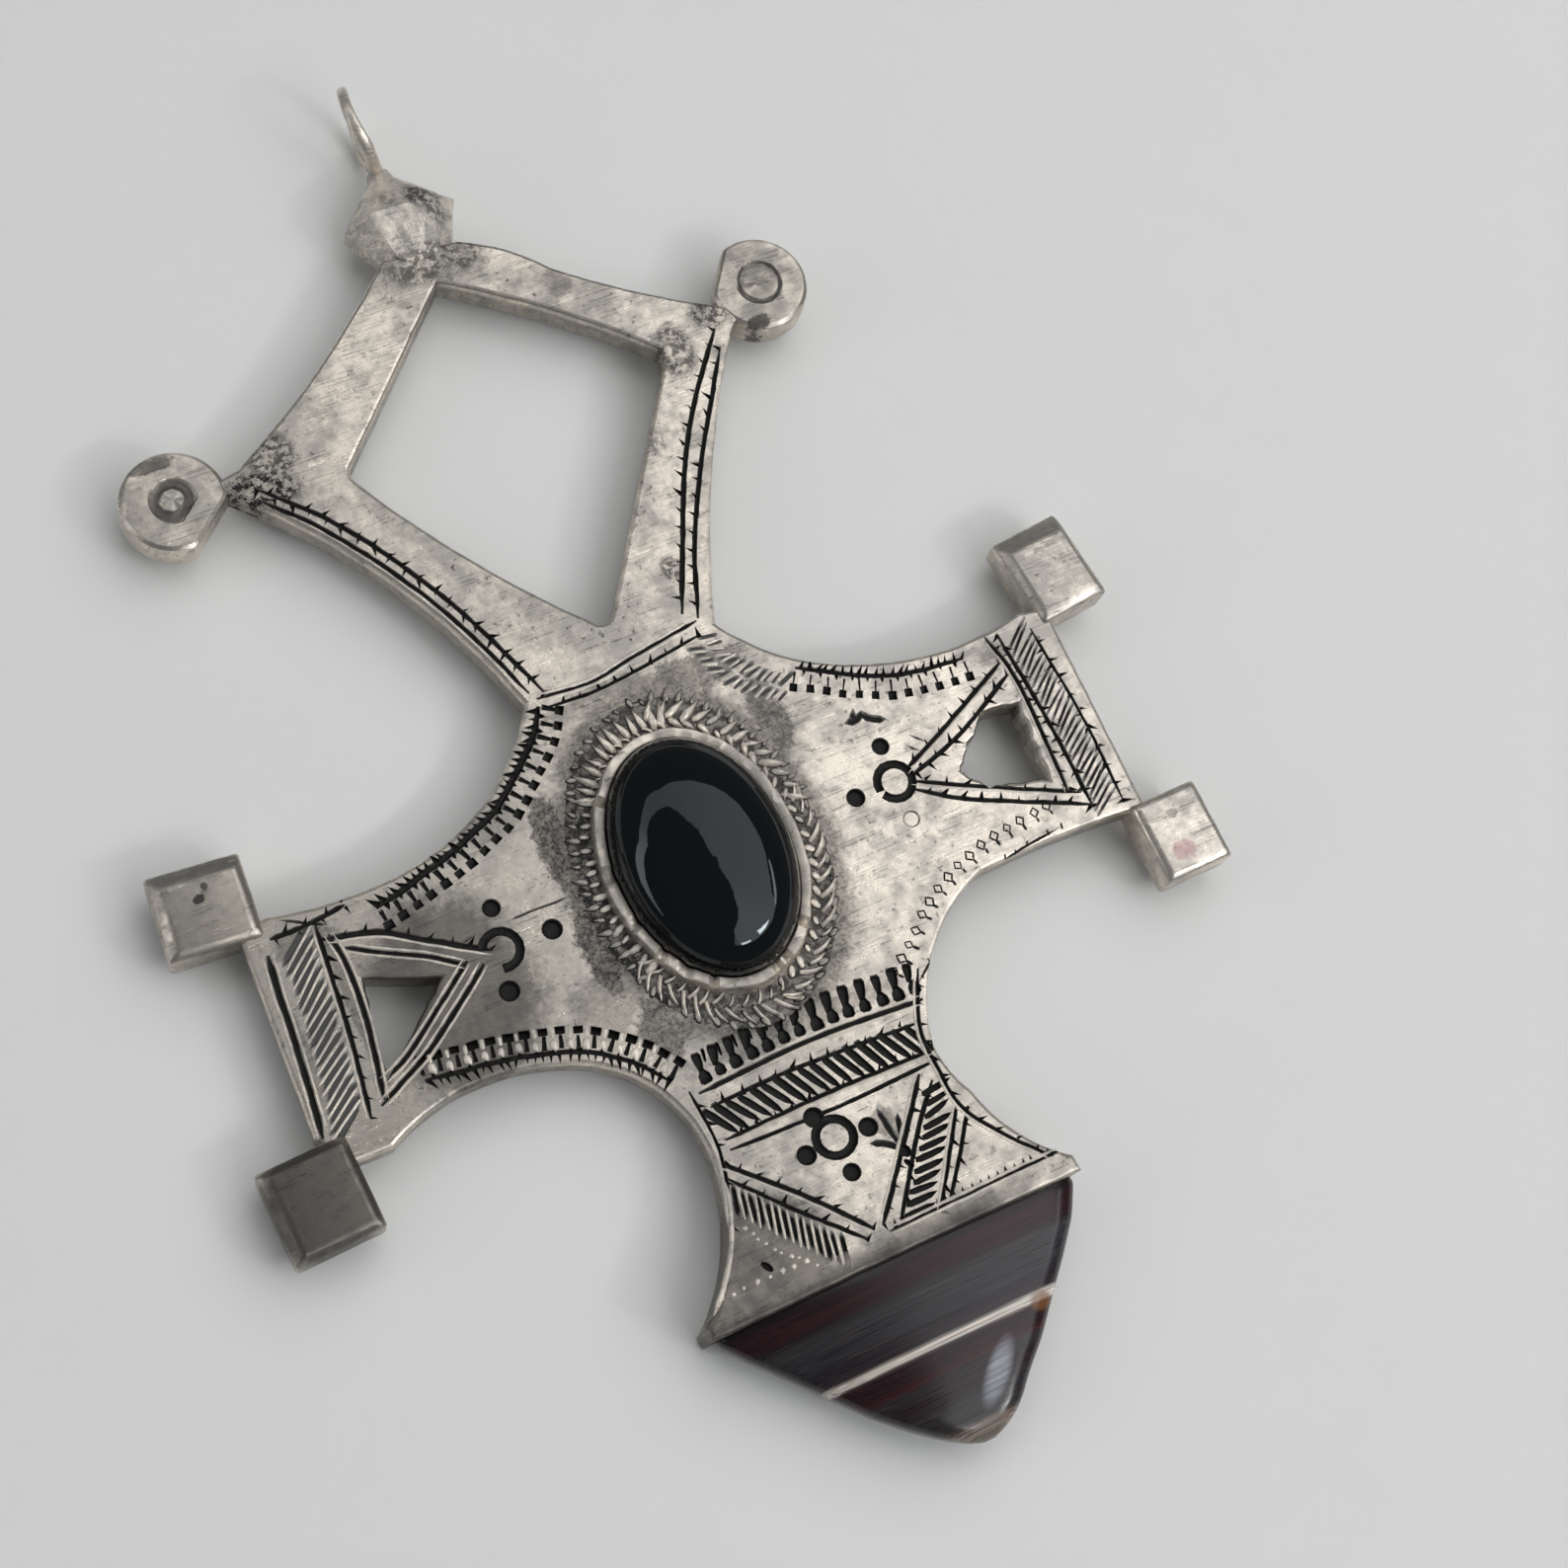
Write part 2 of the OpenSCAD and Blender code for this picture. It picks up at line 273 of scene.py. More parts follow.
def plateSootAndShade(at, fields):
    # Oxide that handling has left round the chased border and in the frame's corners, darker towards the
    # socket's lower edge, with painted shade on the walls, the left side and left of the border
    oval = (((at[0] + 0.08) / 8.3) ** 2.0 + (at[1] / 11.7) ** 2.0) ** 0.5
    marks = (1.0 - (oval + (fields[0] - 0.5) * 0.3 + (fields[1] - 0.5) * 0.3).step(1.02, 1.2)) * 0.8
    marks = blotted(at, fields, soot["plate"], marks)
    marks = marks * (fields[1] * 0.9 + 0.25 + fields[2].step(0.45, 0.6) * 0.3).low(1.0)
    marks = blotted(at, fields, soot["veils"], marks)
    lower = 1.0 - (at[1] + (fields[1] - 0.5) * 0.9).step(-28.5, -26.3)
    marks = marks.high(lower * (1.0 - (at[0] + fields[0] * 5.0).step(8.5, 14.5)) * 0.84)
    # Painted shade on the side walls and hole walls below the face
    walls = (faceZ - 0.45 - at[2]).step(0.0, 0.25) * 0.45
    pitted = (fields[1].step(0.47, 0.54) * 0.9).high(fields[2].step(0.52, 0.6) * 0.6) + 0.1
    return marks.high(blotted(at, fields, soot["pits"]) * pitted).high(walls * (0.4 + fields[1]))


def endSootAndShade(at, fields):
    marks = blotted(at, fields, soot["discRings"], shape=ringBlot)
    return blotted(at, fields, soot["ends"], marks)


def knopSoot(at, fields):
    # Dark veins where the cast lump has pitted
    vein = 1.0 - ((fields[1] - 0.5).maths("ABSOLUTE") * 18.0).low(1.0)
    marks = blotted(at, fields, soot["knop"], vein * (0.12 + fields[0].step(0.42, 0.6) * 0.45))
    return marks * (0.2 + fields[1].step(0.44, 0.53) * 0.8)


def lipSootAndShade(at, fields):
    # Painted shade along the lip's lower side; the rest is soot, darker towards the left
    low = 1.0 - (at[1] + (fields[1] - 0.5) * 0.6).step(-28.75, -27.9)
    left = 1.0 - (at[0] + fields[0] * 6.0).step(10.0, 14.0)
    marks = (low * (0.4 + left * 0.5)).high(left * (0.5 + fields[1] * 0.35))
    return marks.high(fields[1].step(0.5, 0.6) * 0.4)


def bedSootAndShade(at, fields):
    # Mottled soot, with painted shade darker on the left side of the border
    left = 1.0 - at[0].step(-9.0, -2.0)
    return fields[1].step(0.38, 0.58) * 0.7 + left * 0.25 + 0.12


def makeSilver(name, metal=1.0, **look):
    graph, at = newMaterial(name)
    base, rough, bump = silverSurface(graph, at, **look)
    return shaded(graph, {"Base Color": base, "Roughness": rough, "Metallic": metal, "Normal": bump})


def makeLeafSilver(name, tone, foot):
    # Pale along the crest, with painted shade, near black, where it meets the ground
    graph, at = newMaterial(name)
    base, rough, bump = silverSurface(graph, at, tone, 0.3, dulled=0.04)
    height = graph.split(at)[2] + (graph.noise(at, 1.1, 2.0)[0] - 0.5) * 0.22
    base = graph.blend(height.step(faceZ + 0.08, faceZ + 0.2), foot, base)
    return shaded(graph, {"Base Color": base, "Roughness": rough, "Metallic": 0.45, "Normal": bump})


def makeOxide(name, deep, shallow, rubbed=(0.42, 0.40, 0.37), black=(0.026, 0.0245, 0.0235)):
    # Black at the bottom of a cut, rubbed back to grey metal at its rim
    graph, at = newMaterial(name)
    parts = graph.split(at)
    depth = faceZ + ((flareY - parts[1]).high(0.0) * flareSlope) - parts[2]
    speck = graph.noise(at, 3.2, 3.0, 0.65)[0]
    rim = 1.0 - (depth + (speck - 0.5) * 0.12).step(deep, shallow)
    base = graph.blend(rim * 0.8, black, rubbed)
    base = graph.blend(speck.step(0.62, 0.75) * 0.3, base, [c * 0.5 for c in rubbed])
    return shaded(graph, {"Base Color": base, "Roughness": 0.6 - rim * 0.2, "Metallic": 0.75,
                          "Normal": graph.bump(speck, 0.6, 0.00006)})


plateSilver = makeSilver("plateSilver", sootMap=plateSootAndShade)
endSilver = makeSilver("endSilver", tone=1.06, sootiness=0.6, sootMap=endSootAndShade,
                       stains=[((30.6, -12.0, 0.9, 0.8, 0.5), (0.42, 0.20, 0.22))])
knopSilver = makeSilver("knopSilver", 0.5, tone=1.14, sootiness=0.5, sootMap=knopSoot)
bezelSilver = makeSilver("bezelSilver", 0.75, sootiness=0.9, dulled=0.08)
burrSilver = makeSilver("burrSilver", 0.3, tone=1.18, sootiness=0.1)
# The ground between the leaves is dark oxide with painted shade for the deep gaps
bedSilver = makeSilver("bedSilver", 0.8, tone=0.24, sootiness=1.3, sootMap=bedSootAndShade, dulled=0.15)
lipSilver = makeSilver("lipSilver", 0.8, sootiness=0.8, sootMap=lipSootAndShade)
ringSilver = makeSilver("ringSilver", 0.75, tone=1.1, sootiness=0.5)
leafSilver = makeLeafSilver("leafSilver", 1.3, (0.035, 0.034, 0.034))
padSilver = makeLeafSilver("padSilver", 0.42, (0.02, 0.02, 0.02))
cutOxide = makeOxide("cutOxide", 0.02, 0.15)
greyOxide = makeOxide("greyOxide", -0.02, 0.12, (0.4, 0.38, 0.355), (0.13, 0.127, 0.122))
print("silver finishes made")

# mesh helpers


def newObject(name, verts, faces, materials, edges=()):
    mesh = bpy.data.meshes.new(name)
    mesh.from_pydata(verts, edges, faces)
    obj = bpy.data.objects.new(name, mesh)
    bpy.context.scene.collection.objects.link(obj)
    for material in materials:
        mesh.materials.append(material)
    return obj


def plainMesh(obj):
    mesh = bpy.data.meshes.new_from_object(obj.evaluated_get(bpy.context.evaluated_depsgraph_get()))
    obj.modifiers.clear()
    obj.data = mesh


def tidyNormals(obj):
    work = bmesh.new()
    work.from_mesh(obj.data)
    bmesh.ops.remove_doubles(work, verts=work.verts, dist=1e-5)
    bmesh.ops.recalc_face_normals(work, faces=work.faces)
    work.to_mesh(obj.data)
    work.free()


def finishPiece(obj, stands, smoothAngle=None):
    obj.data.transform(Matrix.Translation((0, stoneY * mm, 0)) @ Matrix.Scale(mm, 4))
    if smoothAngle:
        obj.data.shade_smooth()
        obj.data.set_sharp_from_angle(angle=radians(smoothAngle))
    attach(obj, "root")
    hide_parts(stands)


def joined(name, objects):
    work = bmesh.new()
    materials = []
    for obj in objects:
        for material in obj.data.materials:
            if material not in materials:
                materials.append(material)
        before = len(work.faces)
        work.from_mesh(obj.data)
        work.faces.ensure_lookup_table()
        for face in work.faces[before:]:
            face.material_index = materials.index(obj.data.materials[face.material_index])
    result = newObject(name, [], [], materials)
    work.to_mesh(result.data)
    work.free()
    for obj in objects:
        bpy.data.objects.remove(obj)
    return result


def scooped(rows, step=0.5):
    # The closed outline of a table of corners, each with the scoop of the edge that follows it
    points = []
    for i, (x0, y0, scoop) in enumerate(rows):
        x1, y1, _ = rows[(i + 1) % len(rows)]
        a, b = Vector((x0, y0)), Vector((x1, y1))
        chord = (b - a).length
        along = (b - a) / chord
        side = Vector((along.y, -along.x))
        count = max(1, round(chord / step))
        for k in range(count):
            u = k / count
            if scoop:
                radius = (chord * chord / 4 + scoop * scoop) / (2 * scoop)
                turn = asin(chord / 2 / radius) * (2 * u - 1)
                middle = (a + b) / 2 + side * (scoop - radius)
                points.append(middle + side * radius * cos(turn) + along * radius * sin(turn))
            else:
                points.append(a.lerp(b, u))
    return points


def smoothPath(points, step=0.35):
    # A rounded line through the points, with even spacing
    pts = [Vector(p) for p in points]
    pts = [pts[0] * 2 - pts[1], *pts, pts[-1] * 2 - pts[-2]]
    dense = []
    for a, b, c, d in zip(pts, pts[1:], pts[2:], pts[3:]):
        count = max(2, int((c - b).length / step * 3))
        for k in range(count):
            u = k / count
            dense.append(0.5 * (2 * b + (c - a) * u + (2 * a - 5 * b + 4 * c - d) * u * u
                                + (3 * b - a - 3 * c + d) * u ** 3))
    dense.append(pts[-2])
    return dense


def beside(points, distance):
    # The same line moved to the left of its travel
    moved = []
    for i, p in enumerate(points):
        t = (Vector(points[min(i + 1, len(points) - 1)]) - Vector(points[max(i - 1, 0)])).normalized()
        moved.append(Vector((p[0] - t.y * distance, p[1] + t.x * distance)))
    return moved


def later(points, distance):
    # The same line, starting further along
    for i, (a, b) in enumerate(zip(points, points[1:])):
        distance -= (b - a).length
        if distance <= 0:
            return points[i + 1:]
    return points[-2:]


def midway(points, pitch):
    # The same path for marks that sit halfway between those of another row
    long = sum(dist(p, q) for p, q in zip(points, points[1:]))
    gap = long / max(1, int(long / pitch))
    return later(later(points, gap / 2)[::-1], gap / 2)[::-1]


def ovalPath(centre, a, b, start, end, count):
    turns = [polar(start + (end - start) * k / count) for k in range(count + 1)]
    return [Vector((centre[0] + a * c, centre[1] + b * s)) for c, s in turns]


def inset(loop, distance, fixed):
    # Metal lies to the left of travel. Points in fixed keep their y, and small folds at sharp corners
    # are gathered
    moved = []
    n = len(loop)
    for i, p in enumerate(loop):
        t0 = (p - loop[i - 1]).normalized()
        t1 = (loop[(i + 1) % n] - p).normalized()
        n0, n1 = Vector((-t0.y, t0.x)), Vector((-t1.y, t1.x))
        q = p + (n0 + n1) / max(0.35, 1 + n0.dot(n1)) * distance
        moved.append(Vector((q.x, p.y)) if i in fixed else q)
    for i in range(n):
        for reach in range(12, 1, -1):
            j = (i + reach) % n
            spot = intersect_line_line_2d(moved[i], moved[(i + 1) % n], moved[j], moved[(j + 1) % n])
            if spot:
                for k in range(1, reach + 1):
                    moved[(i + k) % n] = spot.copy()
                break
    return moved


def loft(name, sections, material, closed=False):
    # A skin over closed profiles, with a cap at both ends unless the last joins the first
    m, n = len(sections), len(sections[0])
    faces = [(j * n + i, j * n + (i + 1) % n, (j + 1) % m * n + (i + 1) % n, (j + 1) % m * n + i)
             for j in range(m if closed else m - 1) for i in range(n)]
    if not closed:
        faces += [tuple(range(n))[::-1], tuple(range((m - 1) * n, m * n))]
    obj = newObject(name, [p for s in sections for p in s], faces, [material])
    tidyNormals(obj)
    return obj


# node trees that follow a path


def newTree(name, inputs):
    tree = bpy.data.node_groups.new(name, "GeometryNodeTree")
    ids = {}
    for label, kind in {"Geometry": "Geometry", **inputs}.items():
        socket = tree.interface.new_socket(label, in_out="INPUT", socket_type="NodeSocket" + kind)
        ids[label] = socket.identifier
    tree.interface.new_socket("Geometry", in_out="OUTPUT", socket_type="NodeSocketGeometry")
    graph = Graph(tree)
    return graph, graph.add("NodeGroupInput"), ids


def closeTree(graph, geometry, ink):
    solid = graph.add("GeometryNodeRealizeInstances", {"Geometry": geometry})[0]
    inked = graph.add("GeometryNodeSetMaterial", {"Geometry": solid, "Material": ink})[0]
    graph.add("NodeGroupOutput", {0: inked})
    return graph.tree


def makeGougeTree():
    # Sweeps a graver's cut along the path, uneven in width and thin at its ends
    graph, given, ids = newTree("gouge", {
        "Width": "Float", "Depth": "Float", "Flat": "Float", "Wobble": "Float", "Uneven": "Float",
        "Taper": "Float", "Seed": "Float", "Ink": "Material"})
    curve = graph.add("GeometryNodeMeshToCurve", {"Mesh": given["Geometry"]})[0]
    curve = graph.add("GeometryNodeResampleCurve", {"Curve": curve, "Length": 0.45}, mode="LENGTH")[0]
    moved = graph.vector("ADD", graph.add("GeometryNodeInputPosition")[0], graph.join(0, 0, given["Seed"]))
    shift = graph.vector("SUBTRACT", graph.noise(moved, 0.9, 2.0)[1], (0.5, 0.5, 0.5))
    shift = graph.vector("MULTIPLY", shift, graph.join(given["Wobble"], given["Wobble"], 0.0))
    curve = graph.add("GeometryNodeSetPosition", {"Geometry": curve, "Offset": shift})[0]
    along = graph.add("GeometryNodeSplineParameter")["Factor"]
    ends = ((along * 12.0).low(1.0) * ((1.0 - along) * 12.0).low(1.0)).high(0.12)
    size = (1.0 + (graph.noise(moved, 1.6, 2.0)[0] - 0.5) * 2.0 * given["Uneven"]).high(0.3)
    size = size * (1.0 - given["Taper"] * (1.0 - ends))
    half, depth = given["Width"] * 0.5, given["Depth"]
    foot = half * given["Flat"]
    shape = graph.add("GeometryNodeCurvePrimitiveQuadrilateral", {
        "Point 1": graph.join(half * -2.0 + foot, depth * -1.0),
        "Point 2": graph.join(half * 2.0 - foot, depth * -1.0),
        "Point 3": graph.join(foot, depth), "Point 4": graph.join(foot * -1.0, depth)}, mode="POINTS")[0]
    body = graph.add("GeometryNodeCurveToMesh", {
        "Curve": curve, "Profile Curve": shape, "Scale": size, "Fill Caps": True})[0]
    return closeTree(graph, body, given["Ink"]), ids


def makeStrikeTree():
    # Sets one mark after another along the path, as a punch or chisel does
    graph, given, ids = newTree("strike", {
        "Mark": "Object", "Pitch": "Float", "Side": "Float", "Turn": "Float", "Size": "Vector",
        "Shake": "Float", "Turn Shake": "Float", "Size Shake": "Float", "Seed": "Int", "Ink": "Material"})
    curve = graph.add("GeometryNodeMeshToCurve", {"Mesh": given["Geometry"]})[0]
    dots = graph.add("GeometryNodeCurveToPoints", {"Curve": curve, "Length": given["Pitch"]}, mode="LENGTH")
    tangent = graph.split(dots["Tangent"])
    heading = tangent[1].maths("ARCTAN2", tangent[0])

    def chance(extra):
        # A number from -1 to 1 for each mark; 2 and 3 are the limits of the node's float
        return graph.add("FunctionNodeRandomValue", {2: -1.0, 3: 1.0, "Seed": given["Seed"] + extra},
                         data_type="FLOAT")[1]

    reach = given["Side"] + chance(1) * given["Shake"]
    slide = chance(2) * given["Shake"]
    offset = graph.join(tangent[1] * reach * -1.0 + tangent[0] * slide,
                        tangent[0] * reach + tangent[1] * slide)
    points = graph.add("GeometryNodeSetPosition", {"Geometry": dots["Points"], "Offset": offset})[0]
    angle = graph.join(0, 0, heading + given["Turn"] + chance(3) * given["Turn Shake"])
    size = graph.add("ShaderNodeVectorMath", {
        0: given["Size"], "Scale": 1.0 + chance(4) * given["Size Shake"]}, operation="SCALE")[0]
    mark = graph.add("GeometryNodeObjectInfo", {"Object": given["Mark"]})["Geometry"]
    struck = graph.add("GeometryNodeInstanceOnPoints", {
        "Points": points, "Instance": mark, "Rotation": angle, "Scale": size})[0]
    return closeTree(graph, struck, given["Ink"]), ids


gougeTree = makeGougeTree()
strikeTree = makeStrikeTree()
seeds = itertools.count(1)  # one for each gouge or strike, so the order of their calls sets every random draw


def grown(name, path, tree, values, z, closed=False):
    # The mesh that a tree makes of the path, lifted onto the face
    group, ids = tree
    edges = [(i, i + 1) for i in range(len(path) - 1)] + ([(len(path) - 1, 0)] if closed else [])
    obj = newObject(name, [(p[0], p[1], 0.0) for p in path], [], [], edges)
    modifier = obj.modifiers.new("grow", "NODES")
    modifier.node_group = group
    for label, value in values.items():
        modifier[ids[label]] = value
    plainMesh(obj)
    for vertex in obj.data.vertices:
        vertex.co.z += z + riseAt(vertex.co.y)
    return obj


def gouge(path, width=0.28, depth=0.28, flat=0.3, wobble=0.13, uneven=0.25, taper=1.0, ink=cutOxide,
          closed=False):
    seed = next(seeds)
    return grown(f"gouge{seed}", path, gougeTree, {
        "Width": width, "Depth": depth, "Flat": flat, "Wobble": wobble, "Uneven": uneven, "Taper": taper,
        "Seed": 7.3 * seed, "Ink": ink}, faceZ, closed)


def strike(path, mark, pitch, side=0.0, turn=90.0, size=(1, 1, 1), shake=0.05, turnShake=5.0, sizeShake=0.12,
           ink=cutOxide, z=faceZ):
    seed = next(seeds)
    return grown(f"strike{seed}", path, strikeTree, {
        "Mark": marks[mark], "Pitch": pitch, "Side": side, "Turn": radians(turn), "Size": size,
        "Shake": shake, "Turn Shake": radians(turnShake), "Size Shake": sizeShake, "Seed": seed * 11,
        "Ink": ink}, z)


def struckOnce(x, y, mark, turn=0, size=(1, 1, 1), **others):
    return strike([(x, y), (x + 0.3, y)], mark, 5.0, 0, turn, size, **others)


def shelved(obj):
    # Out of the scene, because only the trees use it
    bpy.context.scene.collection.objects.unlink(obj)
    return obj


def punch(name, outline, depth, foot, tilt=0.0):
    # A closed mark: its outline at the face, shrunk to foot at the bottom; tilt makes it deeper towards +x
    n, above = len(outline), 0.4
    grow = 1 + (1 - foot) * above / depth
    verts = [(x * grow, y * grow, above) for x, y in outline]
    verts += [(x * foot, y * foot, -depth - tilt * x) for x, y in outline]
    faces = [tuple(range(n)), tuple(range(2 * n - 1, n - 1, -1))]
    faces += [(i, n + i, n + (i + 1) % n, (i + 1) % n) for i in range(n)]
    obj = newObject(name, verts, faces, [cutOxide])
    tidyNormals(obj)
    return shelved(obj)


def hollowPunch(name, outline, wall, depth):
    # Leaves the middle of the mark standing
    rows = ((0.4, 0.3), (-0.2, -depth), (-0.8, -depth), (-1.4, 0.3))  # part of the wall, height
    sections = []
    for x, y in outline:
        reach = hypot(x, y)
        sections.append([(x * (reach + wall * part) / reach, y * (reach + wall * part) / reach, z)
                         for part, z in rows])
    return shelved(loft(name, sections, cutOxide, True))


def mound(name, outline, height, crest, ink=burrSilver):
    # A low raised shape: its outline at the face, shrunk to crest at the top
    return shelved(loft(name, [[(x * k, y * k, z) for x, y in outline] for k, z in (
        (1.0, -0.12), (1.0, 0.0), (0.5 + crest / 2, height * 0.7), (crest, height))], ink))


def spindle(w, l, bite=0.5):
    e = l / 2 - w * bite
    return [(-l / 2, 0), (-e, -w / 2), (e, -w / 2), (l / 2, 0), (e, w / 2), (-e, w / 2)]


def circle(r, count=16):
    return [(r * c, r * s) for c, s in (polar(360 * k / count) for k in range(count))]


punches = {  # outline, depth, part of its size at the foot, tilt
    "slit": (spindle(0.26, 1.0), 0.26, 0.45),
    "hair": (spindle(0.15, 1.0), 0.13, 0.4),
    "furrow": (spindle(0.42, 1.0, 0.3), 0.15, 0.7),
    "square": ([(-0.5, -0.5), (0.5, -0.5), (0.5, 0.5), (-0.5, 0.5)], 0.34, 0.78, 0.2),
    "stem": ([(-0.5, -0.5), (0.5, -0.32), (0.5, 0.32), (-0.5, 0.5)], 0.24, 0.6),
    "wedge": ([(-0.5, -0.5), (0.1, -0.3), (0.5, 0.0), (0.1, 0.3), (-0.5, 0.5)], 0.28, 0.5),
    "chisel": ([(-0.5, -0.05), (-0.25, -0.17), (0.2, -0.2), (0.46, -0.17), (0.5, 0.08), (0.36, 0.18),
                (0.0, 0.19), (-0.25, 0.15)], 0.3, 0.8),
    "thorn": ([(-0.26, -0.18), (0.06, -0.09), (0.46, 0.0), (0.06, 0.1), (-0.26, 0.18)], 0.24, 0.6),
    "dot": (circle(0.68), 0.4, 0.72),
    "dimple": (circle(0.66), 0.14, 0.8),
    "tick": (spindle(0.13, 0.46), 0.14, 0.4),
    "foot": ([(-0.5, -0.22), (-0.34, -0.4), (0.1, -0.38), (0.36, -0.22), (0.5, -0.16), (0.5, 0.16),
              (0.36, 0.22), (0.1, 0.38), (-0.34, 0.4), (-0.5, 0.22)], 0.36, 0.75, -0.15),
    "slant": ([(-0.5, -0.1), (-0.1, -0.19), (0.34, -0.22), (0.5, -0.14), (0.5, 0.16), (0.3, 0.2),
               (-0.1, 0.16), (-0.5, 0.1)], 0.32, 0.7),
}
marks = {name: punch(name, *row) for name, row in punches.items()}
marks["hollow"] = hollowPunch("hollow", [(0.42, 0), (0.22, 0.2), (0, 0.36), (-0.2, 0.2), (-0.4, 0),
                                         (-0.2, -0.2), (0, -0.36), (0.22, -0.2)], 0.12, 0.2)
marks["ridge"] = mound("ridge", spindle(0.17, 1.0), 0.07, 0.4)
marks["peg"] = mound("peg", [(-0.5, -0.3), (-0.2, -0.5), (0.3, -0.45), (0.5, 0.0), (0.3, 0.45), (-0.2, 0.5)],
                     0.09, 0.55)
print("engraving tools made")

# plate

plate = {
    "edge": [  # x, y, scoop of the edge that follows, clockwise from the knop
        (2.9, 47.6, -0.4), (8.2, 43.5, 0.25), (16.8, 37.4, 0), (19.6, 35.8, 0), (18.2, 34.4, 0.8),
        (7.8, 14.9, 0.8), (15.2, 8.8, 1), (27.8, 7.8, 0), (29.9, 7.4, 0), (29.8, -8.3, 0),
        (28.4, -8.1, 0.2), (17, -7.9, 1.2), (9.3, -15.3, 0.65), (9.6, -20.9, 0.75), (13.6, -27.5, 0),
        (13.6, -28.6, 0), (-12.9, -28.6, 0), (-12.9, -27.8, 1), (-8, -19.2, 1.6), (-12.2, -9.7, 1.75),
        (-25.9, -9.4, 0), (-28.8, -9.4, 0), (-30.2, -7, 0), (-29.6, 7.2, 0), (-27.5, 7.4, 0.45),
        (-17.9, 6.9, 1.55), (-6.6, 14.4, 1.6), (-18.9, 35.3, 0), (-20.4, 36.2, 0), (-17.6, 36.8, 0.6),
        (-2.7, 47.9, 0)],
    "diamond": [
        (0.3, 45, -0.5), (12.8, 34.9, 0), (12.4, 33.6, 0), (1.3, 17.8, -0.15), (0.3, 17.8, -0.6),
        (-10.7, 33.2, -0.1), (-10.7, 34.2, 0)],
    "leftHole": [(-23.5, 1.2, 0), (-19, -0.6, 0), (-24.6, -5.3, 0)],
    "rightHole": [(18.8, -1, 0), (22.2, 2.2, 0), (24.7, 1.8, 0), (24.2, -3.8, 0), (20.3, -2.7, 0)],
    "filing": 0.05,  # how far the filed edges wander
    "ragged": 0.32,  # the same in the pierced triangle on the right
    "field": (-33, 33, -30, 50),  # where loose points are tried: left, right, lower and upper limit
    "spread": {"front": 1.6, "back": 4.0},
    "frontRows": [(0.0, -0.36), (0.05, -0.17), (0.14, -0.05), (0.3, 0.0)],  # inset, height from the face
    "backRows": [(0.3, 0.0), (0.1, 0.1), (0.0, 0.32)],
}


def wander(points, amount, scale, seed):
    moved = []
    for p in points:
        at = Vector((p.x * scale, p.y * scale, seed))
        moved.append(p + Vector((noise.noise(at), noise.noise(at + Vector((31, 7, 3))))) * amount)
    return moved


def turnedTo(points, counterClockwise):
    area = sum(a.x * b.y - b.x * a.y for a, b in zip(points, points[1:] + points[:1]))
    return points if (area > 0) == counterClockwise else points[::-1]


def withCrease(points, y):
    # Adds a point where the outline crosses the height y, and returns their places
    result, places = [], []
    for p, q in zip(points, points[1:] + points[:1]):
        result.append(p)
        if (p.y - y) * (q.y - y) < 0:
            places.append(len(result))
            result.append(p.lerp(q, (y - p.y) / (q.y - p.y)))
    return result, places


def inside(p, loop):
    hit = False
    for a, b in zip(loop, loop[1:] + loop[:1]):
        if (a.y > p.y) != (b.y > p.y) and p.x < (b.x - a.x) * (p.y - a.y) / (b.y - a.y) + a.x:
            hit = not hit
    return hit


def inFace(p, outlines):
    return inside(p, outlines[0]) and not any(inside(p, o) for o in outlines[1:])


def spread(outlines, pitch):
    # Loose points over the face, clear of its rims and of the crease
    chosen = []
    walls = [p for o in outlines for p in o]
    tree = kdtree.KDTree(len(walls))
    for i, p in enumerate(walls):
        tree.insert((p.x, p.y, 0), i)
    tree.balance()
    left, right, lower, upper = (int(limit / pitch) for limit in plate["field"])
    for j in range(lower, upper):
        for i in range(left, right):
            at = Vector((i * pitch, j * pitch, 0.0))
            drift = Vector((noise.noise(at * 0.9), noise.noise(at * 0.9 + Vector((9, 4, 2)))))
            p = Vector((at.x, at.y)) + drift * pitch * 0.7
            clear = abs(p.y - flareY) >= 0.3 and tree.find((p.x, p.y, 0))[2] >= 0.35 * pitch
            if clear and inFace(p, outlines):
                chosen.append(p)
    return chosen


def level(side, y):
    # The back stops swelling sooner than the front
    return faceZ + riseAt(y) if side == "front" else backZ - riseAt(y, 10.0)


